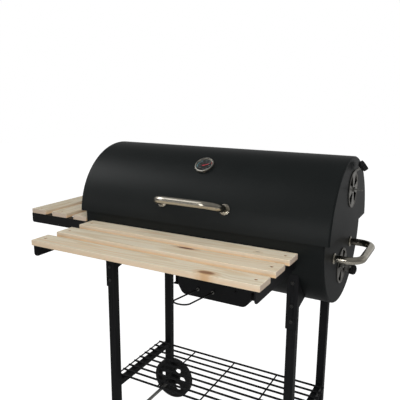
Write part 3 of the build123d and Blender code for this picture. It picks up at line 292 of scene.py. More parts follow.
@dataclass(frozen=True)
class BarrelPaint(SatinPaint):
    """The satin paint outside and dull soot on what faces the fire."""

    middle: tuple[float, float, float]

    def lay(self, paint: Paint) -> None:
        """Build the node graph."""
        place = paint.place()
        along, back, up = (at - middle for at, middle in zip(paint.axes(), self.middle))
        face_x, face_y, face_z = paint.facing()
        reach = (back * back + up * up).root() + 0.001
        inwards = (face_y * back + face_z * up) / reach
        ends_inwards = face_x * along / (along.size() + 0.001)
        sooty = inwards.below(-0.5, -0.2).larger(ends_inwards.below(-0.8, -0.4))
        clouds = paint.noise(place, 6, 3)
        smoke = paint.noise(place, 26, 5, 0.65)
        peel = paint.noise(place, 900, 2)
        dust = paint.noise(place, 260, 2).above(0.67, 0.76)
        colour = paint.mix(clouds.above(0.3, 0.75) * 0.5, self.colour, self.faded)
        colour = paint.mix(dust * 0.08, colour, shade(92, 92, 90))
        soot = paint.mix(smoke.above(0.35, 0.7), shade(20, 18, 17), shade(52, 43, 36))
        paint.surface(
            Base_Color=paint.mix(sooty, colour, soot),
            Roughness=self.roughness + (clouds - 0.5) * 0.1 + dust * 0.1 + sooty * 0.35,
            Specular_IOR_Level=self.specular,
            Normal=paint.bump(peel + smoke * sooty * 2, 0.12, 0.0004),
        )


class Grain(Enum):
    """Direction of a board's grain."""

    ALONG_X = 0
    ALONG_Y = 1


@dataclass(frozen=True)
class Knot:
    """A knot or resin streak: its place from the board's middle, half sizes and colours."""

    along: float
    across: float
    half_length: float
    half_width: float
    heart: Colour
    halo: Colour
    strength: float

    def nearness(self, along: Field, across: Field, wander: Field) -> Field:
        """Distance from the knot, as a share of its half sizes, squared.

        Args:
            along, across: place on the board.
            wander: value that makes the knot's rim uneven.

        Returns:
            Field that is 0 at the heart and 1 at the rim.
        """
        run = (along - self.along) / self.half_length
        reach = (across - self.across + (wander - 0.5) * self.half_width) / self.half_width
        return run * run + reach * reach


@dataclass(frozen=True)
class Board:
    """One pine slat: its node, how it was cut from the trunk, its knots and its painted bounce light on the
    lower sides.
    """

    node: str
    seed: float
    heart_depth: float
    lean: float
    shift: float
    knots: tuple[Knot, ...] = ()
    # Share of the painted warm bounce light and shade on the lower part of the side faces.
    painted_bounce_share: float = 1.0


@dataclass(frozen=True)
class Pine(Finish):
    """Bare planed pine, cut from a trunk whose heart runs below the board's top."""

    grain: Grain
    board: Board
    ring_pitch: float = 0.0085
    pale: Colour = shade(228, 218, 196)
    late: Colour = shade(208, 187, 152)
    fibre: Colour = shade(204, 187, 158)
    blush: Colour = shade(228, 209, 180)
    edge: Colour = shade(236, 214, 186)
    end: Colour = shade(210, 193, 179)
    warm: Colour = shade(228, 183, 132)
    # Peach that paints warm bounce light and shade on the lower part of the side faces, in the gaps between
    # slats.
    painted_bounce_tint: Colour = shade(250, 208, 160)

    def lay(self, paint: Paint) -> None:
        """Build the node graph."""
        board = self.board
        x, y, height = (at - middle for at, middle in zip(paint.axes(), centre(board.node)))
        face_x, face_y, face_z = paint.facing()
        along, across, face_end = (x, y, face_x) if self.grain is Grain.ALONG_X else (y, x, face_y)
        wander = paint.noise(paint.vector(along * 2.4, across * 10, height * 10 + board.seed), 1.0, 3)
        near = [knot.nearness(along, across, wander) for knot in board.knots]
        side = across - board.shift + (wander - 0.5) * 0.022
        lift = height + board.heart_depth + along * board.lean
        ring = (side * side + lift * lift).root()
        for spot in near:
            ring = ring + spot.below(0.0, 7.0) * 0.007
        late = (ring * (TURN / self.ring_pitch) + wander * 3).sine().above(-0.1, 0.98)
        fibres = paint.noise(paint.vector(along * 22, across * 800, height * 800 + board.seed), 1.0, 2)
        tone = paint.noise(paint.vector(along * 1.7, across * 14, board.seed), 1.0, 2)
        colour = paint.mix(late * 0.6, self.pale, self.late)
        colour = paint.mix(fibres.above(0.4, 0.75) * 0.5, colour, self.fibre)
        colour = paint.mix(tone.above(0.4, 0.75) * 0.45, colour, self.blush)
        streaks = paint.noise(paint.vector(along * 2.6, across * 150, height * 60 + board.seed), 1.0, 3)
        colour = paint.mix(streaks.above(0.54, 0.78) * 0.6, colour, self.warm)
        sides = face_z.size().below(0.25, 0.75)
        ends = face_end.size().above(0.5, 0.85)
        # Painted bounce light and shade: the lower part of each side face turns peach, as if lit by light
        # bounced in the gaps.
        low = height.below(-0.003, 0.003) * board.painted_bounce_share
        colour = paint.mix(sides * 0.8, colour, paint.mix(low, self.edge, self.painted_bounce_tint))
        colour = paint.mix(ends * 0.8, colour, paint.mix(late * 0.5, self.end, self.fibre))
        for knot, spot in zip(board.knots, near):
            colour = paint.mix(spot.below(0.6, 3.2) * (0.55 * knot.strength), colour, knot.halo)
            colour = paint.mix(spot.below(0.25, 1.1) * knot.strength, colour, knot.heart)
        paint.surface(
            Base_Color=colour,
            Roughness=0.56 + fibres * 0.12 + ends * 0.2,
            Specular_IOR_Level=0.3,
            Normal=paint.bump(late * 0.4 + fibres, 0.3, 0.0005),
        )


@dataclass(frozen=True)
class BrushedMetal(Finish):
    """Bare metal with fine scratches along one axis and faint dull patches."""

    colour: Colour
    dull: Colour
    roughness: float
    scratch: tuple[float, float, float]

    def lay(self, paint: Paint) -> None:
        """Build the node graph."""
        hairs = paint.noise(paint.stretched(self.scratch), 1.0, 3)
        patches = paint.noise(paint.place(), 55, 4, 0.6)
        worn = patches.above(0.45, 0.72)
        colour = paint.mix(worn * 0.3, self.colour, self.dull)
        paint.surface(
            Base_Color=paint.mix(hairs.above(0.35, 0.8) * 0.35, colour, self.dull),
            Metallic=1.0,
            Roughness=self.roughness + (hairs - 0.5) * 0.12 + worn * 0.06,
            Normal=paint.bump(hairs, 0.08, 0.0002),
        )


@dataclass(frozen=True)
class MouldedPlastic(Finish):
    """Moulded black plastic with a fine sparked grain."""

    colour: Colour
    scuffed: Colour
    roughness: float

    def lay(self, paint: Paint) -> None:
        """Build the node graph."""
        place = paint.place()
        grain = paint.noise(place, 1400, 2)
        scuffs = paint.noise(place, 70, 5, 0.65).above(0.58, 0.74)
        paint.surface(
            Base_Color=paint.mix(scuffs * 0.4, self.colour, self.scuffed),
            Roughness=self.roughness + grain * 0.1 + scuffs * 0.1,
            Specular_IOR_Level=0.3,
            Normal=paint.bump(grain, 0.15, 0.0003),
        )


@dataclass(frozen=True)
class PrintedInk(Finish):
    """Matt print or paint on the dial, with a faint speckle."""

    colour: Colour
    speckle: Colour
    roughness: float = 0.5

    def lay(self, paint: Paint) -> None:
        """Build the node graph."""
        grain = paint.noise(paint.place(), 2600, 2)
        paint.surface(
            Base_Color=paint.mix(grain.above(0.4, 0.8) * 0.4, self.colour, self.speckle),
            Roughness=self.roughness + grain * 0.15,
            Specular_IOR_Level=0.1,
        )


@dataclass(frozen=True)
class ClearGlass(Finish):
    """Flat clear glass with faint smears."""

    def lay(self, paint: Paint) -> None:
        """Build the node graph."""
        smears = paint.noise(paint.stretched((60, 260, 260)), 1.0, 4, 0.6).above(0.45, 0.8)
        paint.surface(
            Base_Color=paint.mix(smears, shade(196, 204, 204), shade(226, 226, 222)),
            Roughness=0.04 + smears * 0.12,
            Alpha=0.02 + smears * 0.03,
        )


@dataclass(frozen=True)
class FloorPaper(Finish):
    """White paper floor that gives back some of the studio's light."""

    def lay(self, paint: Paint) -> None:
        """Build the node graph."""
        mottle = paint.noise(paint.place(), 3, 3)
        seen = paint.value("ShaderNodeLightPath", output="Is Camera Ray")
        paint.surface(
            Base_Color=paint.mix(mottle, shade(146, 146, 146), shade(152, 152, 151)),
            Roughness=0.9,
            Specular_IOR_Level=0.1,
            Emission_Color=paint.mix(seen, shade(108, 108, 108), shade(255, 255, 255)),
            Emission_Strength=1.0,
        )


STAND_PAINT = SatinPaint("stand_coat", shade(22, 23, 25), shade(29, 29, 30), 0.46, 0.15)
BOLT_BLACK = SatinPaint("bolt_black", shade(36, 36, 36), shade(48, 47, 46), 0.36, 0.3)
TUBE_COLOURS = (shade(214, 208, 194), shade(176, 168, 150))
STAINLESS = BrushedMetal("stainless_tube", *TUBE_COLOURS, 0.2, (14, 700, 700))
STAINLESS_CROSS = BrushedMetal("stainless_cross_tube", *TUBE_COLOURS, 0.2, (700, 14, 700))
ZINC = BrushedMetal("zinc_plate", shade(178, 178, 174), shade(128, 126, 120), 0.36, (400, 400, 400))
VENT_STEEL = BrushedMetal("vent_sheet", shade(176, 174, 169), shade(136, 133, 127), 0.42, (60, 60, 900))
BEZEL_STEEL = BrushedMetal("bezel_steel", shade(196, 193, 184), shade(150, 146, 138), 0.42, (700, 700, 700))
SCREW_ZINC = BrushedMetal("yellow_zinc", shade(206, 160, 116), shade(160, 116, 84), 0.55, (500, 500, 500))
GRATE_WIRE = BrushedMetal("grate_wire", shade(168, 166, 160), shade(112, 104, 94), 0.3, (300, 300, 300))
PULL_WIRE = SatinPaint("pull_wire", shade(30, 30, 30), shade(46, 45, 43), 0.4, 0.3)
KNOB_PLASTIC = MouldedPlastic("knob_plastic", shade(24, 24, 25), shade(52, 52, 52), 0.42)
TYRE_PLASTIC = MouldedPlastic("tyre_plastic", shade(30, 30, 30), shade(66, 64, 60), 0.55)
DIAL_BLACK = PrintedInk("dial_ground", shade(9, 9, 10), shade(15, 15, 17))
DIAL_PRINT = PrintedInk("dial_print", shade(150, 152, 150), shade(126, 126, 122))
DIAL_COLD = PrintedInk("dial_cold_zone", shade(96, 160, 172), shade(84, 138, 150))
DIAL_HOT = PrintedInk("dial_hot_zone", shade(178, 60, 48), shade(150, 48, 40))
NEEDLE_RED = PrintedInk("needle_red", shade(196, 40, 52), shade(160, 30, 42), 0.4)
GLASS = ClearGlass("dial_glass")


class Draft:
    """A mesh under construction, from turned, swept and flat shapes."""

    def __init__(self) -> None:
        """Start empty."""
        self.mesh = bmesh.new()

    def turned(self, place: Matrix, profile: Profile, segments: int, shaper: Shaper | None = None) -> None:
        """Add a shape turned about an axis.

        Args:
            place: matrix whose Z is the axis.
            profile: radius and height of each ring; a radius of 0 is one point.
            segments: points round each ring.
            shaper: gives the radius and height of a point from its ring's radius, its angle and height.
        """
        rings = []
        for radius, height in profile:
            count = segments if radius > 0 else 1
            ring = []
            for step in range(count):
                angle = TURN * step / count
                out, up = shaper(radius, angle, height) if shaper else (radius, height)
                ring.append(self.mesh.verts.new(place @ Vector((*polar(out, angle), up))))
            rings.append(ring)
        for low, high in zip(rings, rings[1:]):
            self.band(low, high)

    def band(self, low: list[bmesh.types.BMVert], high: list[bmesh.types.BMVert]) -> None:
        """Close the strip between two rings, either of which may be one point."""
        for step in range(max(len(low), len(high))):
            corners = ((low, step), (low, step + 1), (high, step + 1), (high, step))
            unique = list(dict.fromkeys(ring[spot % len(ring)] for ring, spot in corners))
            if len(unique) > 2:
                self.mesh.faces.new(unique)

    def swept(self, points: Sequence[Vector], radius: float, closed: bool = False, sides: int = 10) -> None:
        """Add a round bead along points.

        Args:
            points: the bead's line.
            radius: half its thickness.
            closed: whether the line ends where it starts.
            sides: points round the bead.
        """
        count = len(points)
        rings = []
        across: Vector | None = None
        for step, point in enumerate(points):
            before = points[step - 1] if step or closed else point
            after = points[(step + 1) % count] if step < count - 1 or closed else point
            run = (after - before).normalized()
            across = run.orthogonal() if across is None else across - run * across.dot(run)
            across.normalize()
            other = run.cross(across)
            spots = (polar(radius, TURN * side / sides) for side in range(sides))
            rings.append([self.mesh.verts.new(point + across * out + other * up) for out, up in spots])
        for low, high in zip(rings, rings[1:]):
            self.band(low, high)
        if closed:
            self.band(rings[-1], rings[0])
        else:
            self.mesh.faces.new(rings[0])
            self.mesh.faces.new(rings[-1])

    def plate(self, place: Matrix, outline: Sequence[tuple[float, float]], thickness: float) -> None:
        """Add a flat plate.

        Args:
            place: matrix whose XY plane is the plate's underside.
            outline: corners in order.
            thickness: height of the plate.
        """
        low = [self.mesh.verts.new(place @ Vector((x, y, 0))) for x, y in outline]
        high = [self.mesh.verts.new(place @ Vector((x, y, thickness))) for x, y in outline]
        self.band(low, high)
        self.mesh.faces.new(low)
        self.mesh.faces.new(high)

    def word(self, place: Matrix, text: str, height: float, thickness: float) -> None:
        """Add raised figures, centred on the placing matrix."""
        curve = bpy.data.curves.new("figures", "FONT")
        curve.body = text
        curve.size = height
        curve.extrude = thickness / 2
        curve.align_x = "CENTER"
        curve.align_y = "CENTER"
        holder = bpy.data.objects.new("figures", curve)
        mesh = bpy.data.meshes.new_from_object(holder)
        mesh.transform(place @ Matrix.Translation((0, 0, thickness / 2)))
        self.mesh.from_mesh(mesh)
        bpy.data.objects.remove(holder)
        bpy.data.curves.remove(curve)
        bpy.data.meshes.remove(mesh)

    def piece(
        self, name: str, body: str, finish: Finish, slot: str, smooth: float = 32.0
    ) -> bpy.types.Object:
        """Turn the draft into a dressed piece.

        Args:
            name: the piece's name.
            body: the CAD body that it rides on.
            finish: its finish.
            slot: the record's material slot; not used.
            smooth: edges under this angle, in degrees, are shaded as round.

        Returns:
            The new object.
        """
        bmesh.ops.remove_doubles(self.mesh, verts=self.mesh.verts, dist=1e-7)
        bmesh.ops.recalc_face_normals(self.mesh, faces=self.mesh.faces)
        data = bpy.data.meshes.new(name)
        self.mesh.to_mesh(data)
        self.mesh.free()
        data.shade_smooth()
        data.set_sharp_from_angle(angle=math.radians(smooth))
        data.materials.append(finish.material())
        made = linked(name, data)
        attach(made, body)
        log.info("%s: %s, %d faces", name, finish.name, len(data.polygons))
        return made


def carry(node: str, finish: Finish, eased: float = 0.0) -> None:
    """Dress a CAD node.

    Args:
        node: the node's name.
        finish: its finish.
        eased: width by which its sharp edges are rounded.
    """
    piece = frame["nodes"][node]
    piece.data.materials.clear()
    piece.data.materials.append(finish.material())
    if eased:
        weld = piece.modifiers.new("weld", "WELD")
        weld.merge_threshold = SAME_SPOT
        bevel = piece.modifiers.new("eased_edges", "BEVEL")
        bevel.limit_method = "ANGLE"
        bevel.angle_limit = math.radians(40)
        bevel.width = eased
        bevel.segments = 2
        bevel.harden_normals = True
    log.info("%s: %s", node, finish.name)


def centre(node: str) -> Vector:
    """Middle of a CAD node's box."""
    low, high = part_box(node)
    return (low + high) / 2


def islands(node: str) -> Iterator[list[Vector]]:
    """Separate solids in a CAD node.

    Args:
        node: the node's name.

    Returns:
        The points of each solid.
    """
    mesh = bmesh.new()
    mesh.from_mesh(frame["nodes"][node].data)
    bmesh.ops.remove_doubles(mesh, verts=mesh.verts, dist=SAME_SPOT)
    seen = set()
    for start in mesh.verts:
        if start in seen:
            continue
        seen.add(start)
        found = [start]
        island = []
        while found:
            vert = found.pop()
            island.append(vert.co.copy())
            fresh = {edge.other_vert(vert) for edge in vert.link_edges} - seen
            seen |= fresh
            found.extend(fresh)
        yield island
    mesh.free()


def solids(node: str) -> Iterator[tuple[Vector, Vector]]:
    """Lowest and highest corner of each separate solid in a CAD node."""
    return map(span, islands(node))


def standing(origin: Vector, axis: Vector, right: Vector = X_AXIS) -> Matrix:
    """Placing matrix whose Z runs along an axis.

    Args:
        origin: its place.
        axis: direction of its Z.
        right: direction that its X leans to, other than the axis.

    Returns:
        The matrix.
    """
    up = axis.normalized()
    side = (right - up * right.dot(up)).normalized()
    made = Matrix((side, up.cross(side), up)).transposed().to_4x4()
    made.translation = origin
    return made


def hexagon(inner: float) -> Shaper:
    """Shaper that cuts a turned shape to a hexagon with a given inner radius."""

    def cut(radius: float, angle: float, height: float) -> tuple[float, float]:
        """Radius and height of one point."""
        sector = (angle + TURN / 12) % (TURN / 6) - TURN / 12
        return min(radius, inner / math.cos(sector)), height

    return cut


def nut_profile(bore: float, inner: float, low: float, high: float) -> Profile:
    """Section of a chamfered nut between two heights."""
    outer, rounded = inner / math.cos(TURN / 12), inner * 0.97
    rise = (high - low) * 0.14
    rims = ((rounded, low), (outer, low + rise), (outer, high - rise), (rounded, high))
    return ((bore, low), *rims, (bore, high), (bore, low))


def threaded(radius: float, low: float, high: float, pitch: float, depth: float) -> Profile:
    """Section of a threaded shank, with a blunt tip at its upper end."""
    turns = int((high - low) / pitch)
    crests = []
    for turn in range(turns):
        start = low + turn * pitch
        crests += [(radius - depth, start), (radius, start + pitch / 2)]
    return ((0, low), *crests, (radius - depth, high - pitch / 4), (radius - 2 * depth, high), (0, high))


@dataclass
class Barrel:
    """The body, the lid that covers it and their hinges."""

    radius: float = 0.2
    weld_bead: float = 0.0011
    weld_lift: float = 0.0006
    weld_steps: int = 24
    ripple: float = 0.0003
    ripples: int = 7
    middle: Vector = field(init=False)

    def __post_init__(self) -> None:
        """Find the middle of the barrel's axis in the frame."""
        self.middle = centre("lid_shell")
        self.middle.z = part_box("body_shell")[0].z + self.radius

    def build(self) -> None:
        """Dress the barrel and add its hinges' welds."""
        colours = (shade(20, 23, 23), shade(26, 29, 29))
        coat = BarrelPaint("barrel_coat", *colours, 0.42, 0.14, tuple(self.middle))
        for half in ("body", "lid"):
            for panel in ("shell", "end_left", "end_right"):
                carry(f"{half}_{panel}", coat)
        carry("hinge_pins", ZINC, 0.0004)
        for node, body, rim in (("hinge_body_leaves", "stand", -1), ("hinge_lid_leaves", "lid", 1)):
            carry(node, STAND_PAINT, 0.0004)
            self.weld(node, body, rim)

    def weld(self, node: str, body: str, rim: int) -> None:
        """Add the weld beads at the ends of a pair of hinge leaves.

        Args:
            node: the leaves.
            body: the body that they ride on.
            rim: -1 for the lower edge of the leaves, 1 for the upper one.
        """
        draft = Draft()
        skin = self.radius if rim < 0 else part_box("lid_shell")[1].z - self.middle.z
        for low, high in solids(node):
            edge_z = low.z if rim < 0 else high.z
            lift = edge_z - self.middle.z
            bead_y = math.sqrt(skin**2 - lift**2) + self.middle.y + self.weld_lift
            points = []
            for step in range(self.weld_steps + 1):
                share = step / self.weld_steps
                wave = self.ripple * math.sin(share * TURN * self.ripples)
                points.append(Vector((low.x + (high.x - low.x) * share, bead_y, edge_z + wave)))
            draft.swept(points, self.weld_bead)
        draft.piece(f"{node}_weld", body, STAND_PAINT, "stand_paint")


@dataclass
class Thermometer:
    """The dial in the lid: case, print, needle and glass."""

    face_drop: float = 0.001
    print_height: float = 0.00012
    scale_radius: float = 0.0205
    tick_length: float = 0.0028
    tick_width: float = 0.0004
    first_angle: float = 225.0
    last_angle: float = -45.0
    ticks: int = 31
    major_every: int = 5
    major_width: float = 1.3
    minor_width: float = 0.8
    minor_length: float = 0.55
    figure_drop: float = 0.0068
    figure_height: float = 0.003
    zone_inner: float = 0.0006
    zone_outer: float = 0.0017
    zone_steps: int = 20
    face: Matrix = field(init=False)
    figures: tuple[str, ...] = ("50", "100", "150", "200", "250", "300", "350")

    def build(self) -> None:
        """Dress the thermometer and print its dial."""
        carry("thermometer_case", BEZEL_STEEL, 0.0006)
        carry("thermometer_nut", ZINC, 0.0006)
        carry("thermometer_dial", DIAL_BLACK)
        carry("thermometer_needle", NEEDLE_RED, 0.0001)
        carry("thermometer_glass", GLASS)
        needle = next(item for item in frame["joints"] if item["name"] == "needle_turn")
        axis = Vector(needle["axis"])
        self.face = standing(Vector(needle["pos_m"]) - axis * self.face_drop, axis)
        self.print_scale()
        self.print_zone("dial_cold_zone", DIAL_COLD, 0.08, 0.36)
        self.print_zone("dial_hot_zone", DIAL_HOT, 0.66, 1.0)

    def angle(self, share: float) -> float:
        """Angle on the dial, in radians, of a share of the scale."""
        return math.radians(self.first_angle + (self.last_angle - self.first_angle) * share)

    def print_scale(self) -> None:
        """Print the ticks and figures."""
        draft = Draft()
        for tick in range(self.ticks):
            major = tick % self.major_every == 0
            outer = self.scale_radius
            inner = outer - self.tick_length * (1.0 if major else self.minor_length)
            half = self.tick_width * (self.major_width if major else self.minor_width) / 2
            turn = Matrix.Rotation(self.angle(tick / (self.ticks - 1)), 4, "Z")
            outline = ((inner, -half), (outer, -half), (outer, half), (inner, half))
            draft.plate(self.face @ turn, outline, self.print_height)
        for count, text in enumerate(self.figures):
            angle = self.angle(count / (len(self.figures) - 1))
            spot = Matrix.Translation((*polar(self.scale_radius - self.figure_drop, angle), 0))
            draft.word(self.face @ spot, text, self.figure_height, self.print_height)
        draft.piece("dial_scale", "lid", DIAL_PRINT, "dial_face")

    def print_zone(self, name: str, finish: Finish, start: float, stop: float) -> None:
        """Print a coloured arc between two shares of the scale."""
        shares = [start + (stop - start) * step / self.zone_steps for step in range(self.zone_steps + 1)]
        angles = [self.angle(share) for share in shares]
        inner, outer = self.scale_radius + self.zone_inner, self.scale_radius + self.zone_outer
        draft = Draft()
        for first, second in zip(angles, angles[1:]):
            outline = (polar(inner, first), polar(outer, first), polar(outer, second), polar(inner, second))
            draft.plate(self.face, outline, self.print_height)
        draft.piece(name, "lid", finish, "dial_face")


@dataclass
class TubeHandle:
    """A bent stainless tube on two flanges."""

    name: str
    body: str
    outwards: Vector
    finish: Finish
    tube_radius: float = 0.010
    flange: float = 0.003
    bead: float = 0.0009
    bead_steps: int = 40

    def build(self) -> None:
        """Dress the handle and weld its tube to the flanges."""
        carry(self.name, self.finish)
        carry(f"{self.name}_flanges", self.finish, 0.0007)
        carry(f"{self.name}_bolts", ZINC, 0.0006)
        draft = Draft()
        turns = [TURN * step / self.bead_steps for step in range(self.bead_steps)]
        for spot in self.flange_faces():
            place = standing(spot, self.outwards, self.outwards.orthogonal())
            ring = [place @ Vector((*polar(self.tube_radius, turn), 0.0)) for turn in turns]
            draft.swept(ring, self.bead, closed=True)
        draft.piece(f"{self.name}_welds", self.body, self.finish, "stainless")

    def flange_faces(self) -> list[Vector]:
        """Middles of the flanges' outer faces."""
        out = self.outwards.normalized()
        spots = []
        for island in islands(f"{self.name}_flanges"):
            face = min(spot.dot(out) for spot in island) + self.flange
            low, high = span(spot for spot in island if spot.dot(out) < face + self.flange * 0.01)
            middle = (low + high) / 2
            spots.append(middle + out * (face - middle.dot(out)))
        return spots


@dataclass
class DraughtVent:
    """A turning disc with a fluted grip, on a threaded bolt through the barrel's end."""

    name: str
    body: str
    bolt_body: str
    disc_radius: float = 0.05
    sheet: float = 0.002
    seat_gap: float = 0.0003
    rim_bead: float = 0.0011
    rim_steps: int = 96
    tab_half: float = math.radians(13)
    bolt_radius: float = 0.0025
    nut_inner: float = 0.0061
    nut_height: float = 0.005
    pitch: float = 0.0009
    thread_depth: float = 0.0004
    tilt: float = math.radians(50)
    knob_radius: float = 0.0145
    knob_length: float = 0.018
    flutes: int = 10
    flute_depth: float = 0.13
    flute_power: float = 1.5
    fluted_from: float = 0.8
    hub: Vector = field(init=False)

    def build(self) -> None:
        """Dress the disc and add its rim, bolt and grip."""
        carry(f"{self.name}_disc", VENT_STEEL, 0.0004)
        bolt = centre(f"{self.name}_bolt")
        self.hub = Vector((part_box(f"{self.name}_disc")[0].x, bolt.y, bolt.z))
        self.add_rim()
        self.add_bolt()
        self.add_grip()

    def add_rim(self) -> None:
        """Add the rolled bead round the disc's edge, open where the tab leaves it."""
        start = self.tab_angle() + self.tab_half
        points = []
        for step in range(self.rim_steps + 1):
            turn = (TURN - 2 * self.tab_half) * step / self.rim_steps
            y, z = polar(self.disc_radius - self.rim_bead, start + turn)
            points.append(self.hub + Vector((self.sheet, y, z)))
        draft = Draft()
        draft.swept(points, self.rim_bead)
        draft.piece(f"{self.name}_rim", self.body, VENT_STEEL, "vent_steel")

    def tab_angle(self) -> float:
        """Angle of the tab about the vent's bolt, from the rear upwards."""
        grip = centre(f"{self.name}_knob")
        return math.atan2(grip.z - self.hub.z, grip.y - self.hub.y)

    def add_bolt(self) -> None:
        """Replace the plain bolt with a threaded one and chamfered nuts."""
        inside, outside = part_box(f"{self.name}_bolt")
        place = standing(Vector((0, self.hub.y, self.hub.z)), X_AXIS, Y_AXIS)
        draft = Draft()
        shank = threaded(self.bolt_radius, inside.x, outside.x, self.pitch, self.thread_depth)
        draft.turned(place, shank, segments=20)
        for low in (inside.x, self.hub.x + self.sheet + self.seat_gap):
            section = nut_profile(self.bolt_radius, self.nut_inner, low, low + self.nut_height)
            draft.turned(place, section, 48, hexagon(self.nut_inner))
        bolt = draft.piece(f"{self.name}_bolt_threaded", self.bolt_body, ZINC, "zinc")
        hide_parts(f"{self.name}_bolt")

    def add_grip(self) -> None:
        """Replace the plain grip with a rounded, fluted one."""
        out = Vector((0, *polar(1.0, self.tab_angle())))
        run = out * math.cos(self.tilt) + X_AXIS * math.sin(self.tilt)
        corners = [v.co for v in frame["nodes"][f"{self.name}_knob"].data.vertices]
        low = min(co.dot(run) for co in corners)
        middle = centre(f"{self.name}_knob")
        foot = middle + run * (low - middle.dot(run))
        draft = Draft()
        draft.turned(standing(foot, run), self.grip_profile(), 120, self.fluted)
        grip = draft.piece(f"{self.name}_grip", self.body, KNOB_PLASTIC, "black_plastic", 50)
        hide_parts(f"{self.name}_knob")

    def grip_profile(self) -> Profile:
        """Section of the grip: a short collar, a fluted barrel and a crowned end."""
        shares = ((0, 0), (0.7, 0), (0.74, 0.03), (0.76, 0.16), (0.92, 0.2), (1, 0.27), (1, 0.82),
                  (0.96, 0.9), (0.86, 0.95), (0.55, 0.985), (0, 1))
        return tuple((self.knob_radius * out, self.knob_length * up) for out, up in shares)

    def fluted(self, radius: float, angle: float, height: float) -> tuple[float, float]:
        """Radius and height of one point of the grip."""
        if radius < self.knob_radius * self.fluted_from:
            return radius, height
        hollow = max(0.0, math.cos(self.flutes * angle)) ** self.flute_power
        return radius * (1 - self.flute_depth * hollow), height


@dataclass
class Shelves:
    """The pine slats of the front table and the side shelf, their brackets and screws."""

    screw_head: float = 0.004
    screw_shank: float = 0.002
    head_height: float = 0.0025
    recess: float = 0.0011
    arm: float = 0.0027
    arm_half: float = 0.0005
    recess_rise: float = 0.6
    crown: float = 0.0002
    rim_edge: float = 0.0004
    cone_edge: float = 0.0009
    taper: float = 0.9
    point: float = 0.002
    head_rings: tuple[float, ...] = (0.12, 0.24, 0.36, 0.48, 0.6, 0.72, 0.84, 0.95)

    def build(self) -> None:
        """Dress the slats and brackets and add the screws."""
        streak = Knot(0.066, 0.0222, 0.029, 0.0062, shade(110, 74, 58), shade(186, 142, 104), 1.0)
        brown = Knot(0.197, -0.0168, 0.024, 0.0110, shade(134, 94, 64), shade(206, 162, 112), 0.9)
        tail = Knot(0.200, -0.0285, 0.016, 0.0050, shade(206, 152, 92), shade(214, 174, 122), 0.4)
        grey = Knot(0.239, -0.007, 0.007, 0.0032, shade(138, 124, 104), shade(190, 168, 136), 0.7)
        table = (
            Board("table_slat_rear", 3.1, 0.020, 0.035, 0.006, (grey,)),
            Board("table_slat_middle", 8.7, 0.028, -0.03, -0.010, (streak,)),
            Board("table_slat_front", 15.2, 0.016, 0.04, 0.012, (brown, tail), 0.3),
        )
        side = (
            Board("side_slat_inner", 21.9, 0.024, 0.05, 0.004),
            Board("side_slat_middle", 27.4, 0.018, -0.04, -0.008),
            Board("side_slat_outer", 33.6, 0.030, 0.03, 0.010),
        )
        for grain, boards in ((Grain.ALONG_X, table), (Grain.ALONG_Y, side)):
            for board in boards:
                carry(board.node, Pine(f"pine_{board.node}", grain, board))
        for node in ("table_bracket_left", "table_bracket_right", "side_bracket_front", "side_bracket_rear"):
            carry(node, STAND_PAINT, 0.0006)
        carry("bracket_bolts", ZINC, 0.0006)
        self.add_screws()

    def add_screws(self) -> None:
        """Replace the plain screws with ones that have a crossed recess."""
        draft = Draft()
        for low, high in solids("shelf_screws"):
            middle = (low + high) / 2
            place = standing(Vector((middle.x, middle.y, high.z)), Z_AXIS)
            rings = [(self.screw_head * share, 0.0) for share in self.head_rings]
            tip = low.z - high.z
            section = ((0, 0.0), *rings, (self.screw_head, -self.rim_edge),
                       (self.screw_head * self.taper, -self.cone_edge), (self.screw_shank, -self.head_height),
                       (self.screw_shank * self.taper, tip + self.point), (0, tip))
            draft.turned(place, section, 56, self.crossed)
        screws = draft.piece("shelf_screws_crossed", "stand", SCREW_ZINC, "zinc", 40)
        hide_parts("shelf_screws")

    def crossed(self, radius: float, angle: float, height: float) -> tuple[float, float]:
        """Radius and height of one point of a screw's head, with its recess pressed in."""
        if height < 0 or radius >= self.screw_head:
            return radius, height
        x, y = (abs(part) for part in polar(radius, angle))
        if min(x, y) < self.arm_half and max(x, y) < self.arm:
            return radius, -self.recess * (1 - self.recess_rise * max(x, y) / self.arm)
        return radius, -self.crown * (radius / self.screw_head) ** 2


@dataclass
class Stand:
    """Legs, their brackets and bolts, feet, wheels and the lower rack."""

    head_radius: float = 0.0054
    head_height: float = 0.004
    shank_radius: float = 0.003
    head_edge: float = 0.0009
    dome_steps: int = 7

    def build(self) -> None:
        """Dress the stand and add its domed bolts."""
        for depth in ("front", "rear"):
            for side in ("left", "right"):
                carry(f"leg_{depth}_{side}", STAND_PAINT, 0.0016)
            carry(f"wheel_{depth}", TYRE_PLASTIC, 0.0012)
        carry("leg_brackets", STAND_PAINT, 0.0007)
        carry("cross_rails", STAND_PAINT, 0.0012)
        carry("lower_rack", STAND_PAINT)
        carry("foot_caps", TYRE_PLASTIC, 0.0015)
        carry("axle", ZINC, 0.0006)
        carry("axle_caps", KNOB_PLASTIC, 0.0012)
        self.add_bolts()

    def add_bolts(self) -> None:
        """Replace the plain leg bolts with domed ones."""
        draft = Draft()
        middle = centre("leg_bolts")
        rise = self.head_height - self.head_edge
        lifts = [TURN / 4 * step / self.dome_steps for step in range(self.dome_steps)]
        dome = [(self.head_radius * math.cos(lift), self.head_edge + rise * math.sin(lift)) for lift in lifts]
        for low, high in solids("leg_bolts"):
            spot = (low + high) / 2
            out = -Y_AXIS if spot.y < middle.y else Y_AXIS
            tip = low.y if spot.y < middle.y else high.y
            place = standing(Vector((spot.x, tip, spot.z)) - out * self.head_height, out)
            length = high.y - low.y - self.head_height
            section = ((0, -length), (self.shank_radius, -length), (self.shank_radius, 0.0),
                       (self.head_radius, 0.0), *dome, (0, self.head_height))
            draft.turned(place, section, segments=28)
        bolts = draft.piece("leg_bolts_domed", "stand", BOLT_BLACK, "stand_paint")
        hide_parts("leg_bolts")


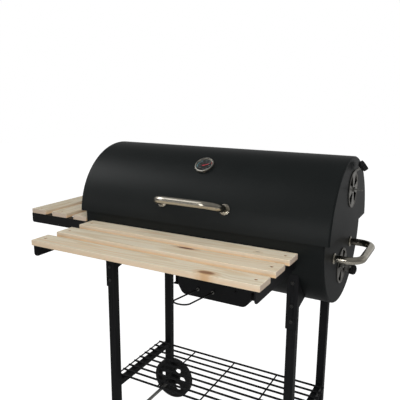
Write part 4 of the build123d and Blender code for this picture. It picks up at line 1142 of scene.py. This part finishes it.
@dataclass
class Firebox:
    """The grates in the barrel with their ledges, and the ash pan below with its rails and pull."""

    def build(self) -> None:
        """Dress the ash pan and the grates."""
        carry("ash_pan", STAND_PAINT, 0.0004)
        carry("ash_rails", STAND_PAINT, 0.0006)
        carry("ash_pull", PULL_WIRE)
        carry("ash_pull_nuts", ZINC, 0.0006)
        for node in ("cooking_grate_left", "cooking_grate_right", "charcoal_grate"):
            carry(node, GRATE_WIRE)
        carry("grate_ledges", STAND_PAINT, 0.0005)


@dataclass
class Softbox:
    """A flat area light: in reflections alone if it is mirrored, and never in them if it isn't."""

    name: str
    place: tuple[float, float, float]
    width: float
    height: float
    power: float
    mirrored: bool = False

    def build(self, aim: Vector) -> None:
        """Hang the light, turned to a point."""
        data = bpy.data.lights.new(self.name, "AREA")
        data.shape = "RECTANGLE"
        data.size = self.width
        data.size_y = self.height
        data.energy = self.power
        light = linked(self.name, data)
        light.location = self.place
        light.rotation_euler = (aim - light.location).to_track_quat("-Z", "Y").to_euler()
        light.visible_glossy = self.mirrored
        light.visible_diffuse = not self.mirrored


@dataclass
class Studio:
    """White floor, soft lights and the camera, placed from the barrel's middle."""

    middle: Vector
    eye: tuple[float, float, float] = (0.6742, -1.3673, 0.3716)
    yaw: float = math.radians(28.86)
    pitch: float = math.radians(12.07)
    roll: float = math.radians(0.40)
    focal_pixels: float = 501.1
    image_pixels: float = 400.0
    floor_half: float = 9.0

    def build(self) -> None:
        """Set up the studio."""
        self.lay_floor()
        self.light_world()
        boxes = (
            Softbox("key_box", (1.2, -1.75, 1.7), 1.4, 1.4, 26),
            Softbox("top_box", (0.2, -0.9, 3.1), 3.0, 3.0, 36),
            Softbox("glow_box", (-2.3, -0.7, 2.5), 1.5, 1.5, 26, mirrored=True),
            Softbox("left_box", (-2.8, -2.9, 1.3), 1.2, 0.9, 9, mirrored=True),
            Softbox("front_box", (-0.3, -2.9, 1.3), 1.0, 0.9, 14, mirrored=True),
            Softbox("tube_box", (-0.9, -1.0, 2.6), 1.6, 1.2, 5, mirrored=True),
            Softbox("back_box", (1.1, 3.2, 0.5), 1.6, 0.9, 0.9, mirrored=True),
        )
        for box in boxes:
            box.build(self.middle)
        self.place_camera()
        bpy.context.scene.view_settings.view_transform = "Standard"

    def lay_floor(self) -> None:
        """Lay a wide paper floor at the part's foot."""
        half = self.floor_half
        data = bpy.data.meshes.new("floor")
        corners = [(-half, -half, 0), (half, -half, 0), (half, half, 0), (-half, half, 0)]
        data.from_pydata(corners, [], [(0, 1, 2, 3)])
        data.materials.append(FloorPaper("floor_paper").material())
        floor = linked("floor", data)

    def light_world(self) -> None:
        """Light the room: brighter low down at the back, and white where it is seen directly."""
        world = bpy.data.worlds.new("studio")
        bpy.context.scene.world = world
        world.use_nodes = True
        paint = Paint(world.node_tree)
        _, back, up = paint.parts(paint.value("ShaderNodeTexCoord", output="Generated"))
        room = paint.mix(up.above(-0.1, 0.9), shade(92, 92, 92), shade(122, 122, 122))
        room = paint.mix(back.above(0.0, 0.5) * up.below(0.3, 0.6), room, shade(170, 170, 170))
        seen = paint.value("ShaderNodeLightPath", output="Is Camera Ray")
        colour = paint.mix(seen, room, (1.0, 1.0, 1.0, 1.0))
        shader = paint.node("ShaderNodeBackground", None, {"Color": colour, "Strength": 1.0})
        end = paint.node("ShaderNodeOutputWorld")
        paint.tree.links.new(shader.outputs[0], end.inputs["Surface"])

    def place_camera(self) -> None:
        """Set the camera at the photograph's view."""
        data = bpy.data.cameras.new("camera")
        data.lens = data.sensor_width * self.focal_pixels / self.image_pixels
        camera = linked("camera", data)
        place = Matrix.Translation(self.middle + Vector(self.eye))
        for angle, axis in ((self.yaw, "Z"), (TURN / 4 - self.pitch, "X"), (self.roll, "Z")):
            place = place @ Matrix.Rotation(angle, 4, axis)
        camera.matrix_world = place
        bpy.context.scene.camera = camera


def main() -> None:
    """Dress the smoker piece by piece and set up the studio."""
    logging.basicConfig(level=logging.INFO, format="%(name)s: %(message)s")
    barrel = Barrel()
    barrel.build()
    Thermometer().build()
    handle_angle = math.radians(19)
    lid_outwards = Vector((0, -math.cos(handle_angle), math.sin(handle_angle)))
    TubeHandle("lid_handle", "lid", lid_outwards, STAINLESS).build()
    TubeHandle("end_handle", "stand", X_AXIS, STAINLESS_CROSS).build()
    DraughtVent("upper_vent", "upper_vent", "lid").build()
    DraughtVent("lower_vent", "lower_vent", "stand").build()
    Shelves().build()
    Stand().build()
    Firebox().build()
    Studio(barrel.middle).build()


if __name__ == "__main__":
    main()
